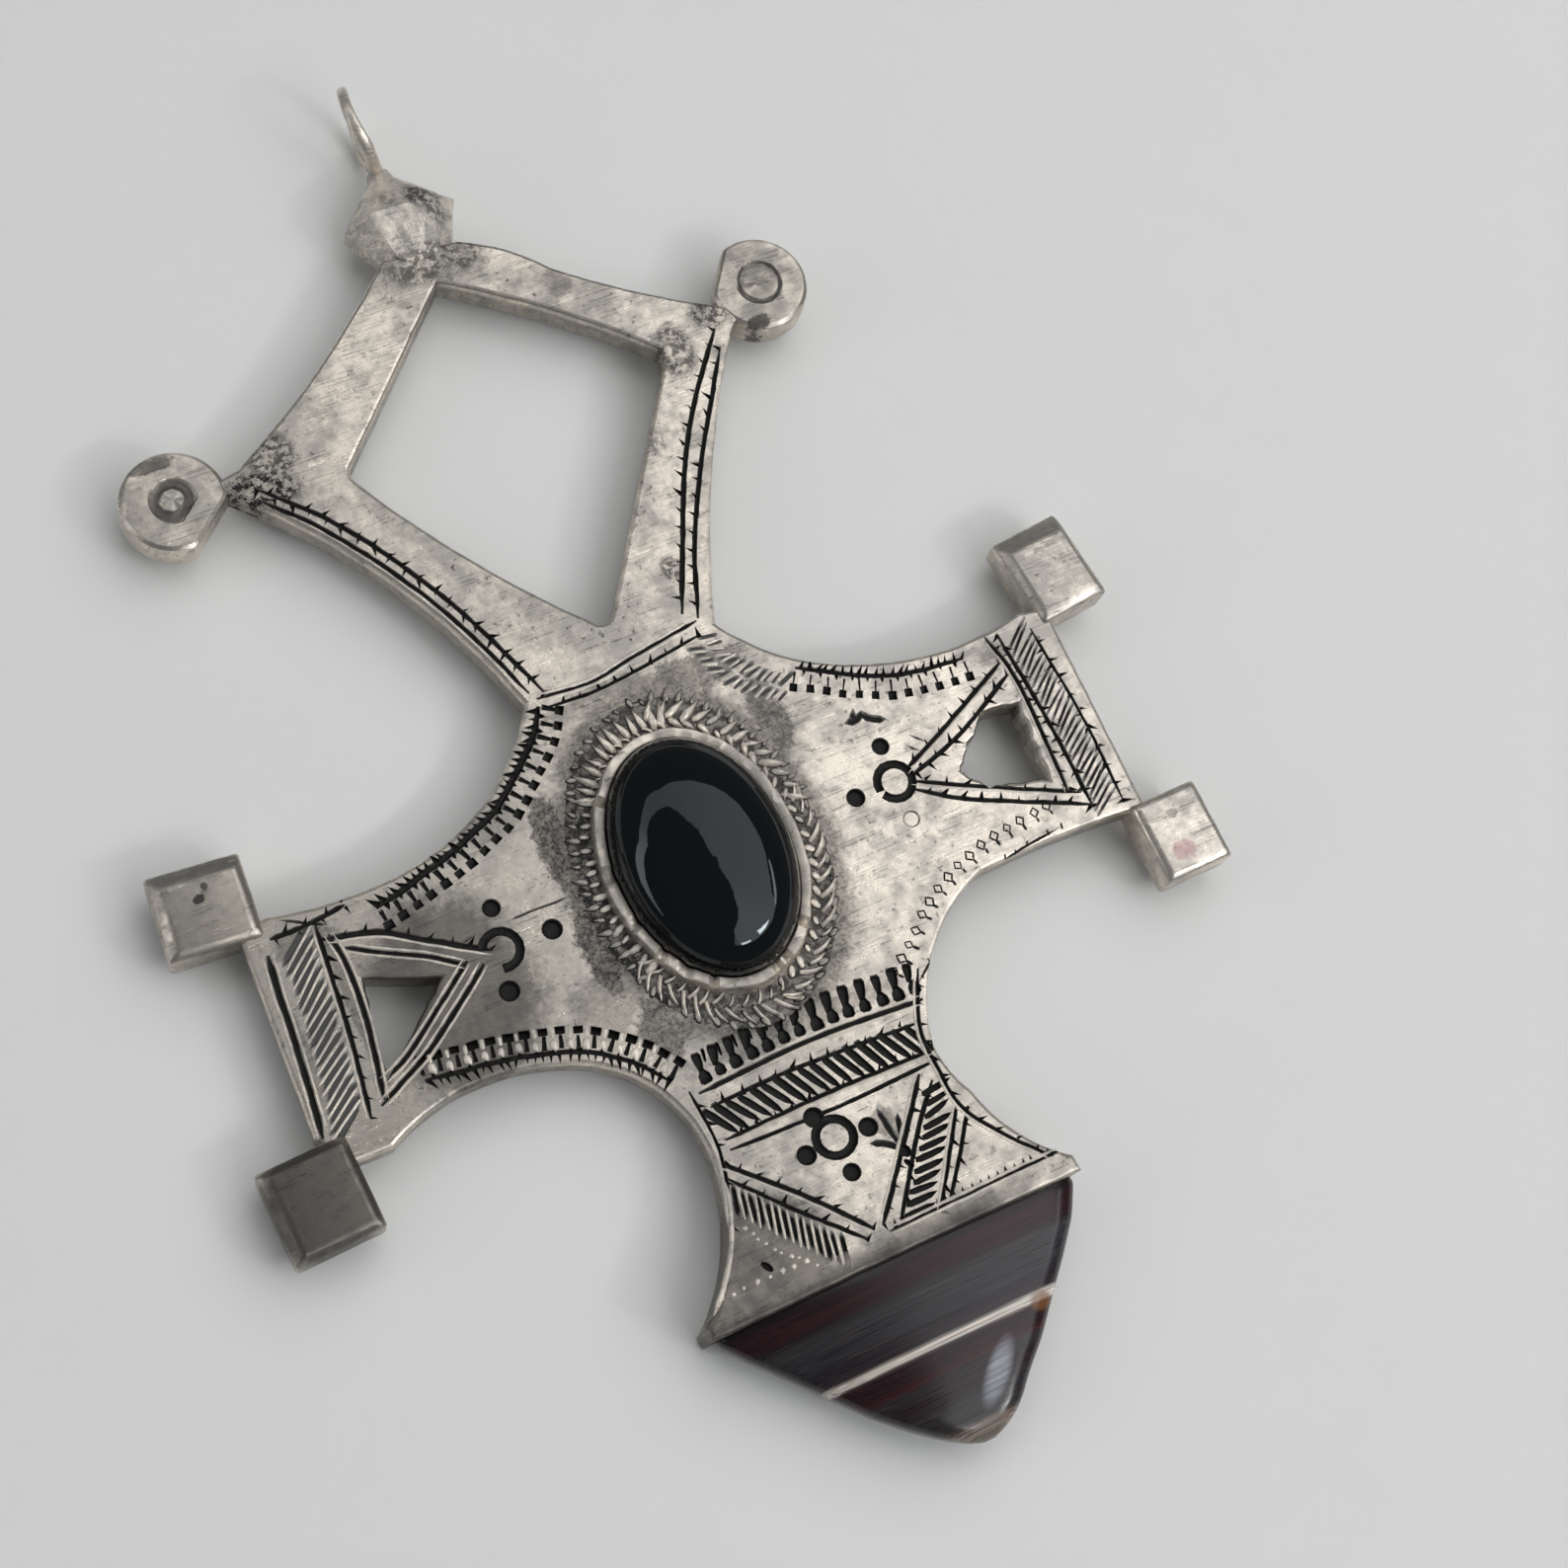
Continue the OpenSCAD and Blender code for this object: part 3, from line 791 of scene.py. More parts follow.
def buildPlate():
    outer = turnedTo(wander(scooped(plate["edge"]), plate["filing"], 0.6, 1.0), True)
    outer, crease = withCrease(outer, flareY)
    loops = [outer]
    for name, amount, scale in (("diamond", plate["filing"], 0.6), ("leftHole", 0.12, 1.4),
                                ("rightHole", plate["ragged"], 1.5)):
        loops.append(turnedTo(wander(scooped(plate[name], 0.35), amount, scale, 5.0), False))
    verts, faces = [], []
    caps = {"front": [], "back": []}
    rows = [("back", *row) for row in plate["backRows"]] + [("front", *row) for row in plate["frontRows"]]
    for loop in loops:
        n, start = len(loop), len(verts)
        for side, distance, height in rows:
            for p in inset(loop, distance, crease if loop is outer else ()):
                verts.append((p.x, p.y, level(side, p.y) + height))
        for j in range(len(rows) - 1):
            for i in range(n):
                a, b = start + j * n + i, start + j * n + (i + 1) % n
                faces.append((a, b, b + n, a + n))
        caps["back"].append(list(range(start, start + n)))
        caps["front"].append(list(range(start + (len(rows) - 1) * n, start + len(rows) * n)))
    for side, rims in caps.items():
        flat = [i for rim in rims for i in rim]
        where = {v: i for i, v in enumerate(flat)}
        points = [Vector(verts[i][:2]) for i in flat]
        outlines = [[points[where[i]] for i in rim] for rim in rims]
        for p in spread(outlines, plate["spread"][side]):
            flat.append(len(verts))
            points.append(p)
            verts.append((p.x, p.y, level(side, p.y)))
        edges = [(where[a], where[b]) for rim in rims for a, b in zip(rim, rim[1:] + rim[:1])]
        _, _, triangles, origins, _, _ = delaunay_2d_cdt(points, edges + [tuple(crease)], [], 0, 1e-6)
        for tri in triangles:
            a, b, c = (origins[i][0] for i in tri)
            if inFace((points[a] + points[b] + points[c]) / 3, outlines):
                faces.append((flat[a], flat[b], flat[c]))
    obj = newObject("plateBody", verts, faces, [plateSilver, cutOxide])
    tidyNormals(obj)
    return obj


plateBody = buildPlate()
print("plate blank made", len(plateBody.data.polygons))

engraving = {
    "lines": [  # points, width, sides with thorns, burr height
        ([(-17.2, 35.1), (-15.3, 33.2), (-13.7, 31.5), (-11.5, 28.5), (-9.55, 25.2), (-7.85, 21.9),
          (-6.4, 18.3), (-5.0, 14.6)], 0.37, 2, 0),
        ([(-17.3, 34.3), (-16.0, 32.9), (-14.35, 31.1), (-12.15, 28.05), (-10.2, 24.85), (-8.55, 21.6),
          (-7.1, 18.1), (-6.0, 14.9)], 0.35, 0, 0),
        ([(5.9, 16.3), (7.6, 19.9), (10.6, 26.0), (13.4, 30.4), (17.1, 35.0)], 0.4, 1, 0),
        ([(6.8, 15.6), (8.9, 20.7), (11.8, 25.9), (14.3, 29.7), (16.8, 33.5)], 0.36, 1, 0),
        ([(-5.7, 14.4), (-1.7, 14.15), (1.4, 14.7), (6.6, 15.5)], 0.3, 0, 0.04),
        ([(-5.3, 13.6), (-2, 13.45), (1.8, 13.8), (6.4, 14.5)], 0.26, 1, 0),
        ([(15.3, 0.4), (19.5, 2.3), (24.9, 4.9)], 0.36, 1, 0.04),
        ([(15.5, -0.1), (19.9, 1.3), (25.2, 4.0)], 0.34, 2, 0),
        ([(15.4, -0.4), (18.9, -2.2), (26.0, -5.6)], 0.32, 1, 0.04),
        ([(15.2, -0.9), (18.4, -3), (26.2, -6.6)], 0.34, 1, 0),
        ([(24.8, 7.0), (25.5, 3.2), (25.2, -5.2)], 0.34, 1, 0.05),
        ([(25.7, 6.9), (26.2, 0), (26.3, -6.8)], 0.34, 2, 0.05),
        ([(28.1, 6.4), (28.6, -0.5), (28.5, -7.2)], 0.24, 2, 0.04),
        ([(-24.6, 4.6), (-21.4, 3.7), (-18.9, 2.1), (-15.9, 0.2), (-15.2, -0.2)], 0.46, 1, 0.05),
        ([(-23.8, 3.6), (-21.2, 2.1), (-19.3, 1.1), (-17.2, -0.4)], 0.36, 0, 0.06),
        ([(-17.0, -0.2), (-19.6, -2.1), (-22.9, -4.4), (-24.9, -5.3)], 0.36, 0, 0.07),
        ([(-16.1, -0.8), (-18.1, -2.3), (-21.6, -4.7), (-24.0, -5.9), (-25.6, -6.7)], 0.38, 0, 0.07),
        ([(-24.4, 4.8), (-24.1, 2.4), (-24.4, -1.7), (-25.3, -6.4)], 0.4, 0, 0.07),
        ([(-24.9, 5.7), (-25.3, 1.8), (-25.7, -2.1), (-26.5, -7.2)], 0.36, 1, 0.07),
        ([(-28.4, 5.0), (-28.7, 2.5), (-28.9, -0.1), (-29.4, -5.0), (-29.7, -7.2)], 0.5, 0, 0.07),
        ([(-27.9, 5.9), (-25.4, 5.9), (-22.7, 6.2)], 0.36, 2, 0.05),
        ([(-6.9, -14), (1.3, -13.7), (9.4, -14.2)], 0.4, 0, 0.05),
        ([(-6.6, -15.1), (-0.8, -15), (8.4, -15.5)], 0.3, 1, 0),
        ([(-6.6, -17.4), (0.3, -17.3), (8.5, -17.5)], 0.32, 1, 0.04),
        ([(-6.6, -18.1), (1.2, -18.4), (8.5, -18.2)], 0.3, 0, 0),
        ([(-7.6, -18.6), (-3.7, -22.6), (-0.5, -26.5)], 0.38, 1, 0.04),
        ([(-7.6, -19.7), (-4.7, -23.1), (-1.2, -26.9)], 0.32, 1, 0),
        ([(6.9, -18.6), (4.2, -21.8), (0.1, -26.5)], 0.38, 1, 0.04),
        ([(7.5, -19.3), (4.9, -22.1), (1.3, -26.7)], 0.34, 1, 0),
        ([(8.2, -21.4), (6.2, -24.1), (3.9, -27.2)], 0.3, 1, 0.04),
        ([(8.8, -21.8), (7.3, -23.8), (4.8, -26.8)], 0.3, 1, 0),
        ([(10.0, -12.2), (8.4, -15.7), (8.2, -18.8), (8.4, -21.7), (10.1, -24.5), (12.3, -27.1)], 0.3, 1,
          0.05),
        ([(-7.4, -13.6), (-7.2, -17.5), (-7.9, -20.5), (-8.7, -22.6)], 0.28, 1, 0.04),
        ([(0.3, -27.0), (6, -26.95), (12.8, -26.9)], 0.24, 0, 0.05),
    ],
    "bands": [  # path, mark, pitch, turn from the path, stroke length, width
        ([(27.0, 6.4), (27.4, 0), (27.4, -6.9)], "hair", 0.52, 127, 3.0, 1.5),
        ([(-26.5, 5.0), (-26.9, 0.2), (-27.3, -3.0), (-28.0, -7.0)], "furrow", 0.7, 135, 3.3, 1.0),
        ([(-6.4, -16.2), (0, -16.15), (8.0, -16.5)], "chisel", 0.84, 122, 3.0, 1.42),
        ([(-7.7, -21.2), (-6.1, -23.1), (-4.3, -25.3), (-2.9, -26.9)], "slit", 0.55, 126, 2.3, 1.25),
        ([(7.6, -19.8), (6.3, -22.2), (4.6, -24.3), (2.7, -26.6)], "chisel", 0.72, -52, 2.25, 1.15),
    ],
    "teeth": [  # path of the squares, side of the edge, pitch, then square, stem and wedge (deep, wide), line
        ([(-4.6, 13.1), (-5.7, 11.4), (-7.1, 10.0), (-8.7, 8.6), (-10.5, 7.2), (-12.5, 6.3), (-14.5, 5.5),
          (-16.6, 4.9), (-18.7, 4.3), (-20.6, 3.9)], -1, 1.06, (0.6, 0.66), (0.95, 0.4), (0.55, 0.42), 0.5),
        ([(-22.3, -4.9), (-20.4, -5.2), (-16.3, -5.9), (-12.2, -7.2), (-10.1, -8.5), (-8.5, -9.9),
          (-7.2, -11.6)], -1, 1.1, (0.55, 0.7), (0.95, 0.34), (0.45, 0.3), 0.36),
        ([(10.8, 8.7), (12.9, 7.5), (15, 6.4), (17, 5.6), (19.3, 5.1), (22.5, 4.8)], 1, 1.1,
         (0.6, 0.55), (0.85, 0.16), (0.5, 0.3), 0.36),
    ],
    "toothReach": 1.4,  # from the squares to the line beside the edge
    "waist": [(-6.2, -13.1), (1.0, -12.8), (9.2, -13.25)],
    "waistMarks": [  # start along the line, reach from it, turn, mark, size
        (0.01, 0.0, 88, "foot", (1.0, 1.06, 1)), (0.1, 1.02, 80, "slant", (1.45, 1.75, 1)),
        (0.66, 1.2, 84, "slant", (0.9, 0.6, 1))],
    "stars": [(23.3, -5.5), (19.2, -6), (15.6, -7), (12.6, -8.5), (10, -10.7), (8.4, -11.8)],
    "rings": [  # middle, start and end angle
        ((-14.7, -0.4), -108, 152), ((14.3, 0), 205, 553), ((-0.1, -20.1), 0, 360)],
    "dots": [(-14.2, 2.4), (-11.1, -0.4), (-15.3, -3.1), (14.5, 2.6), (11.3, 0), (-0.7, -18.4), (2.2, -20.4),
             (-2.3, -20.4), (-0.1, -22.6)],
    "dimple": (14.2, -2.8),
    "worn": [(6.6, 14.0), (7.3, 12.0), (8.8, 10.3), (10.4, 9.2)],
    "wornRows": [(0.25, 66, 1.3), (-0.95, 58, 1.2)],  # side, turn, stroke length
    "fanEdge": [(0.8, -26.85), (12.8, -26.8)],
    "fanRim": [(-12.2, -27.2), (-10.8, -25.85), (-9.3, -23.85), (-8.27, -21.6), (-7.8, -19.8)],
    "beads": [  # path, pitch, size along, shake
        ([(-8.0, -23.0), (-7.2, -24.5), (-6.3, -25.6), (-4.9, -26.9)], 0.55, 0.36, 0.1),
        ([(-11.4, -26.4), (-5.4, -26.5)], 0.8, 0.4, 0.08)],
    "pecks": [  # x, y, turn, size
        (3.6, -22.7, -60, (0.85, 0.6, 1)), (-7.8, -25.8, -60, (0.7, 0.35, 0.8)),
        (3.5, -23.6, -60, (0.6, 0.3, 1))],
    "nicks": [  # single scars: points, width, depth
        ([(12.9, 5.0), (13.7, 5.0), (14.2, 5.2), (14.6, 4.7), (15.7, 4.2)], 0.6, 0.2),
        ([(13.4, 4.8), (13.9, 5.8)], 0.5, 0.18),
        ([(16.6, 2.6), (17.1, 2.2), (17.6, 1.7)], 0.2, 0.12),
        ([(16.2, 2.1), (16.5, 1.7), (16.9, 1.3)], 0.2, 0.12),
        ([(-17.2, 0.9), (-15.7, 1.2)], 0.2, 0.12),
        ([(-13.4, 1.2), (-11.4, 1.2), (-9.2, 1.1)], 0.18, 0.12),
        ([(3.2, -19.5), (3.4, -21.0), (3.6, -22.7)], 0.5, 0.22),
        ([(1.7, -21.4), (2.7, -21.8), (3.7, -22.8)], 0.48, 0.22),
        ([(4.4, -20.3), (4.1, -21.2), (3.7, -22.6)], 0.4, 0.22),
        ([(-26.9, 6.9), (-24.2, 5.4)], 0.22, 0.15),
    ],
}


def toothRow(path, side, pitch, square, stem, wedge, width):
    row = smoothPath(path)
    reach = engraving["toothReach"]
    edge = beside(row, side * reach)
    turn = -90 * side
    return [
        gouge(edge, width, 0.3, uneven=0.3, wobble=0.16, taper=0.5),
        strike(later(edge, 0.3), "thorn", pitch * 0.5, side * 0.2, 75 * side, (1.3, 3.0 * width, 1.2), 0.1,
               25, 0.3),
        strike(row, "square", pitch, 0, turn, (*square, 1), sizeShake=0.1),
        strike(row, "stem", pitch, side * (square[0] + stem[0] - 0.12) / 2, turn, (*stem, 1), sizeShake=0.14),
        strike(midway(row, pitch), "wedge", pitch, side * (reach - wedge[0] / 2), turn, (*wedge, 1),
               sizeShake=0.25),
    ]


def makeCutters():
    table, cutters = engraving, []
    for line, width, thorns, _ in table["lines"]:
        path = smoothPath(line)
        cutters.append(gouge(path, width, 0.28, uneven=0.36, taper=0.6))
        for side in (1, -1)[:thorns]:
            cutters.append(strike(later(path, 0.7 + 0.4 * side), "thorn", 1.25, side * (width / 2 + 0.06),
                                  side * 68, (0.92, 0.85, 0.9), 0.12, 24, 0.4))
    for path, mark, pitch, turn, length, width in table["bands"]:
        cutters.append(strike(smoothPath(path), mark, pitch, 0, turn, (length, width, 1), 0.05, 4, 0.08,
                              greyOxide if mark == "furrow" else cutOxide))
    for row in table["teeth"]:
        cutters += toothRow(*row)
    stars = smoothPath(table["stars"])
    starEdge = beside(stars, 1.75)
    cutters += [
        gouge(starEdge, 0.2, 0.2),
        strike(starEdge, "tick", 0.9, 0, 60, shake=0.15, turnShake=25, sizeShake=0.3),
        strike(stars, "hollow", 1.05, 0, -90, shake=0.06, turnShake=14),
        strike(stars, "tick", 1.05, 0.55, 90, (1, 1.5, 1), 0.04, 14, 0.2),
    ]
    worn = smoothPath(table["worn"])
    for side, turn, length in table["wornRows"]:
        cutters.append(strike(worn, "hair", 0.55, side, turn, (length, 1.8, 1), 0.1, 14, 0.2, greyOxide))
    for centre, start, end in table["rings"]:
        whole = end - start == 360
        path = ovalPath(centre, 1.24, 1.24, start, end, 28)
        cutters.append(gouge(path[:-1] if whole else path, 0.62, 0.34, 0.8, 0.06, 0.1, 0.0, closed=whole))
    cutters += [struckOnce(x, y, "dot", shake=0.03, sizeShake=0.08) for x, y in table["dots"]]
    cutters.append(struckOnce(*table["dimple"], "dimple", ink=plateSilver))
    cutters.append(strike(smoothPath(table["fanEdge"]), "thorn", 0.62, 0.1, 80, (0.9, 1.2, 0.8)))
    for x, y, turn, size in table["pecks"]:
        cutters.append(struckOnce(x, y, "dot", turn, size, shake=0, turnShake=0, sizeShake=0))
    for points, width, depth in table["nicks"]:
        cutters.append(gouge(smoothPath(points, 0.25), width, depth, 0.3, 0.3, 0.45))
    waist = smoothPath(table["waist"])
    for start, side, turn, mark, size in table["waistMarks"]:
        cutters.append(strike(later(waist, start), mark, 1.13, side, turn, size, 0.05, 6, 0.1))
    return cutters


def carve(body, cutters):
    group = bpy.data.collections.new("cutters")
    bpy.context.scene.collection.children.link(group)
    for cutter in cutters:
        group.objects.link(cutter)
    cut = body.modifiers.new("carve", "BOOLEAN")
    cut.operation, cut.solver, cut.operand_type = "DIFFERENCE", "MANIFOLD", "COLLECTION"
    cut.collection, cut.material_mode = group, "TRANSFER"
    plainMesh(body)
    for cutter in cutters:
        bpy.data.objects.remove(cutter)
    bpy.data.collections.remove(group)


def makeBurrs():
    # Metal that the tools have pushed up beside the cuts
    table, parts = engraving, []

    def raised(path, *marking):
        parts.append(strike(path, *marking, ink=burrSilver))

    def ridged(path, *shape):
        parts.append(gouge(path, *shape, ink=burrSilver))

    for line, width, thorns, burr in table["lines"]:
        for side in (1, -1)[thorns:] if burr else ():
            ridged(beside(smoothPath(line), side * (width / 2 + 0.08)), 0.17, burr, 1.4, 0.1, 0.6)
    for path, mark, pitch, turn, length, _ in table["bands"]:
        if mark in ("furrow", "slit"):
            raised(midway(smoothPath(path), pitch), "ridge", pitch, 0, turn, (length, 1, 1), 0.03, 3, 0.06)
    teeth, _, pitch = table["teeth"][1][:3]
    gaps = midway(smoothPath(teeth), pitch)
    raised(gaps, "peg", pitch, -0.85, 90, (0.8, 0.5, 1), 0.05, 8, 0.15)
    raised(gaps, "ridge", pitch, -0.1, 90, (0.6, 1.5, 1), 0.05, 8, 0.2)
    worn = midway(smoothPath(table["worn"]), 0.55)
    for side, turn, _ in table["wornRows"]:
        raised(worn, "ridge", 0.55, side, turn, (1.1, 1.1, 1), 0.08, 14, 0.2)
    for path, pitch, length, shake in table["beads"]:
        raised(smoothPath(path), "peg", pitch, 0, 20, (length, 0.3, 0.8), shake, 30, 0.3)
    ridged(smoothPath(table["fanRim"]), 0.26, 0.09, 1.4, 0.06, 0.4)
    return joined("burrs", parts)


cutters = makeCutters()
print("cutters made", len(cutters))
carve(plateBody, cutters)
print("plate engraved", len(plateBody.data.polygons))
finishPiece(plateBody, "cross_plate")
burrs = makeBurrs()
finishPiece(burrs, "cross_plate", 50)
print("burrs raised", len(burrs.data.polygons))

# arm ends, frame ends, knop

armEnds = {
    "low": 0.9, "high": 4.3, "chamfer": 0.4, "foot": 0.55, "soft": 0.24,
    "rows": [  # x, y, width, length, turn, front bevels: left, right, lower, upper (width, drop)
        (31.5, 9.9, 5.4, 6.8, 6, (0.5, 0.35), (0.5, 0.4), (0.6, 0.3), (1.4, 0.8)),
        (31.2, -10.8, 5.1, 5.9, 1, (0.4, 0.25), (0.4, 0.3), (0.45, 0.3), (0.4, 0.25)),
        (-31.3, -10.7, 6.1, 6.4, 2, (0.8, 0.5), (0.5, 0.45), (0.5, 0.35), (0.6, 0.35)),
        (-30.9, 9.4, 6.2, 5.9, -5, (0.8, 0.5), (0.5, 0.35), (0.5, 0.35), (1.1, 0.6))],
}


def buildArmEnd(name, x, y, w, l, turn, left, right, lower, upper):
    low, high, foot = armEnds["low"], armEnds["high"], armEnds["foot"]

    def rectangle(a, b, c, d, heights):
        x0, x1, y0, y1 = a - w / 2, w / 2 - b, c - l / 2, l / 2 - d
        return [(*corner, z) for corner, z in zip(((x0, y0), (x1, y0), (x1, y1), (x0, y1)), heights)]

    shoulder = [high - max(side[1], end[1])
                for side, end in ((left, lower), (right, lower), (right, upper), (left, upper))]
    obj = loft(name, [
        rectangle(foot, foot, foot, foot, [low] * 4), rectangle(0, 0, 0, 0, [low + armEnds["chamfer"]] * 4),
        rectangle(0, 0, 0, 0, shoulder),
        rectangle(left[0], right[0], lower[0], upper[0], [high] * 4)], endSilver)
    obj.data.transform(Matrix.Translation((x, y, 0)) @ Matrix.Rotation(radians(turn), 4, "Z"))
    bevel = obj.modifiers.new("soften", "BEVEL")
    bevel.width, bevel.segments, bevel.limit_method = armEnds["soft"], 4, "NONE"
    plainMesh(obj)
    return obj


frameEnds = {
    "low": 1.3, "high": 3.9,
    "side": [  # part of the radius, height from low or high
        (0.86, "low", 0), (0.97, "low", 0.18), (1, "low", 0.6), (1, "high", -0.62), (0.97, "high", -0.22),
        (0.9, "high", -0.03)],
    "discs": [  # x, y, radius, direction and distance of the flat side, rings (radius, height from the face)
        (21.6, 37.2, 3.6, 144, 3.0, [
            (3.0, -0.02), (1.72, -0.02), (1.6, -0.1), (1.45, -0.16), (1.2, -0.1), (0.9, -0.14), (0.5, -0.09),
            (0.15, -0.1)]),
        (-22.4, 36.1, 3.65, -50, 2.9, [
            (3.0, -0.02), (1.65, -0.02), (1.5, -0.12), (1.25, -0.14), (0.95, -0.12), (0.8, -0.02), (0.4, 0.0),
            (0.12, 0.0)])],
}


def buildFrameEnd(name, x, y, r, toward, flat, rings):
    rim = []
    for k in range(72):
        c, s = polar(5 * k)
        across = cos(radians(5 * k) - radians(toward))
        reach = min(r, flat / across) if across > 0.05 else r
        spin = k * 0.0873
        rim.append((c, s, reach, noise.noise(Vector((x + cos(spin) * 1.3, y + sin(spin) * 1.3, 2.0)))))

    def row(part, z, lift=0.0):
        return [(x + reach * part * c, y + reach * part * s, z + lift * rough) for c, s, reach, rough in rim]

    sections = [row(part, frameEnds[end] + z) for part, end, z in frameEnds["side"]]
    sections += [row(part / r, frameEnds["high"] + deep, 0.06) for part, deep in rings]
    return loft(name, sections, endSilver)


knop = {"rows": [(46.6, 0.42, 0.5), (47.8, 0.66, 0.66), (50.9, 1, 1), (53.2, 0.5, 0.56), (54.2, 0.25, 0.36),
                 (54.9, 0.2, 0.3)],
        "width": 8.5, "thick": 5.0, "middle": 2.5, "roughness": 0.16}


def buildKnop():
    facets = [polar(45 * f) for f in range(8)]
    sections = []
    rows = knop["rows"]
    for (y0, w0, t0), (y1, w1, t1) in zip(rows, rows[1:]):
        steps = max(3, round((y1 - y0) / 0.22))
        for k in range(steps + (1 if y1 == rows[-1][0] else 0)):
            u = k / steps
            y, w, t = y0 + (y1 - y0) * u, w0 + (w1 - w0) * u, t0 + (t1 - t0) * u
            section = []
            for i in range(72):
                across, up = polar(5 * i)
                # distance to an eight-sided section whose flats face the axes
                facing = [(across * c + up * s, c, s) for c, s in facets]
                reach = min(hypot(w * knop["width"] / 2 * c, t * knop["thick"] / 2 * s) / part
                            for part, c, s in facing if part > 0.05)
                p = Vector((reach * across, y, reach * up))
                rough = noise.fractal(p * 0.8, 0.8, 2.2, 4) * 0.6 + abs(noise.noise(p * 1.9)) * -0.7
                shrink = 1 + (rough * knop["roughness"] - 0.1) / max(1.0, reach)
                section.append((p.x * shrink, y, knop["middle"] + p.z * shrink))
            sections.append(section)
    return loft("knop", sections, knopSilver)


squareEnds = joined("armEnds", [buildArmEnd(f"armEnd{i}", *row) for i, row in enumerate(armEnds["rows"])])
finishPiece(squareEnds, "cross_plate", 35)
discs = joined("frameEnds", [buildFrameEnd(f"disc{i}", *row) for i, row in enumerate(frameEnds["discs"])])
finishPiece(discs, "cross_plate", 30)
finishPiece(buildKnop(), "cross_plate", 28)
print("ends and knop made")

# setting: bezel and chased border

setting = {
    "middle": (-0.2, 0.05), "seat": (5.98, 8.48), "wall": 0.72, "top": 4.95,
    "notches": [(138, 2.2), (172, 4), (196, 3), (214, 2.2), (228, 3.5), (243, 2), (283, 3), (291, 2.5),
                (312, 2)],
    "border": (8.28, 11.68), "borderTop": 0.05, "foot": faceZ - 0.3,
}


def ovalProfile(axes, rows, c, s):
    # One section across an oval wall; each row has how far out it lies along x and y, and its height
    cx, cy = setting["middle"]
    a, b = axes
    return [(cx + (a + out[0]) * c, cy + (b + out[1]) * s, z) for out, z in rows]


def buildBezel():
    sections = []
    for k in range(240):
        c, s = polar(1.5 * k)
        rough = noise.noise(Vector((c * 4.2, s * 4.2, 0.5)))
        fine = noise.noise(Vector((c * 14, s * 14, 2.5)))
        wall = setting["wall"] + 0.12 * rough + 0.05 * fine
        top = setting["top"] - 0.1 + 0.1 * rough + 0.03 * fine
        for at, half in setting["notches"]:
            off = abs((1.5 * k - at + 180) % 360 - 180)
            if off < half:
                top -= 0.45 * (1 - off / half) ** 0.5
        sections.append(ovalProfile(setting["seat"], [((out, out), z) for out, z in (
            (0.0, setting["foot"]), (wall + 0.1, setting["foot"]), (wall + 0.05, top - 0.4),
            (wall, top - 0.07), (wall - 0.08, top), (0.1, top + 0.02 * fine), (0.02, top - 0.06),
            (-0.02, top - 0.4))], c, s))
    return loft("bezel", sections, bezelSilver, True)


def buildBorderBed():
    inner = [reach + setting["wall"] for reach in setting["seat"]]
    width = [outer - reach for outer, reach in zip(setting["border"], inner)]
    top = faceZ + setting["borderTop"]
    sections = []
    for k in range(180):
        c, s = polar(2 * k)
        rough = noise.noise(Vector((c * 6, s * 6, 4.0)))
        sections.append(ovalProfile(inner, [((width[0] * part, width[1] * part), z) for part, z in (
            (0, setting["foot"]), (1.05, setting["foot"]), (1.04 + 0.06 * rough, faceZ + 0.005),
            (0.9, top - 0.02), (0.7, top + 0.03 * rough), (0.45, top), (0.3, faceZ + 0.03),
            (0.1, faceZ + 0.01))], c, s))
    return loft("borderBed", sections, bedSilver, True)


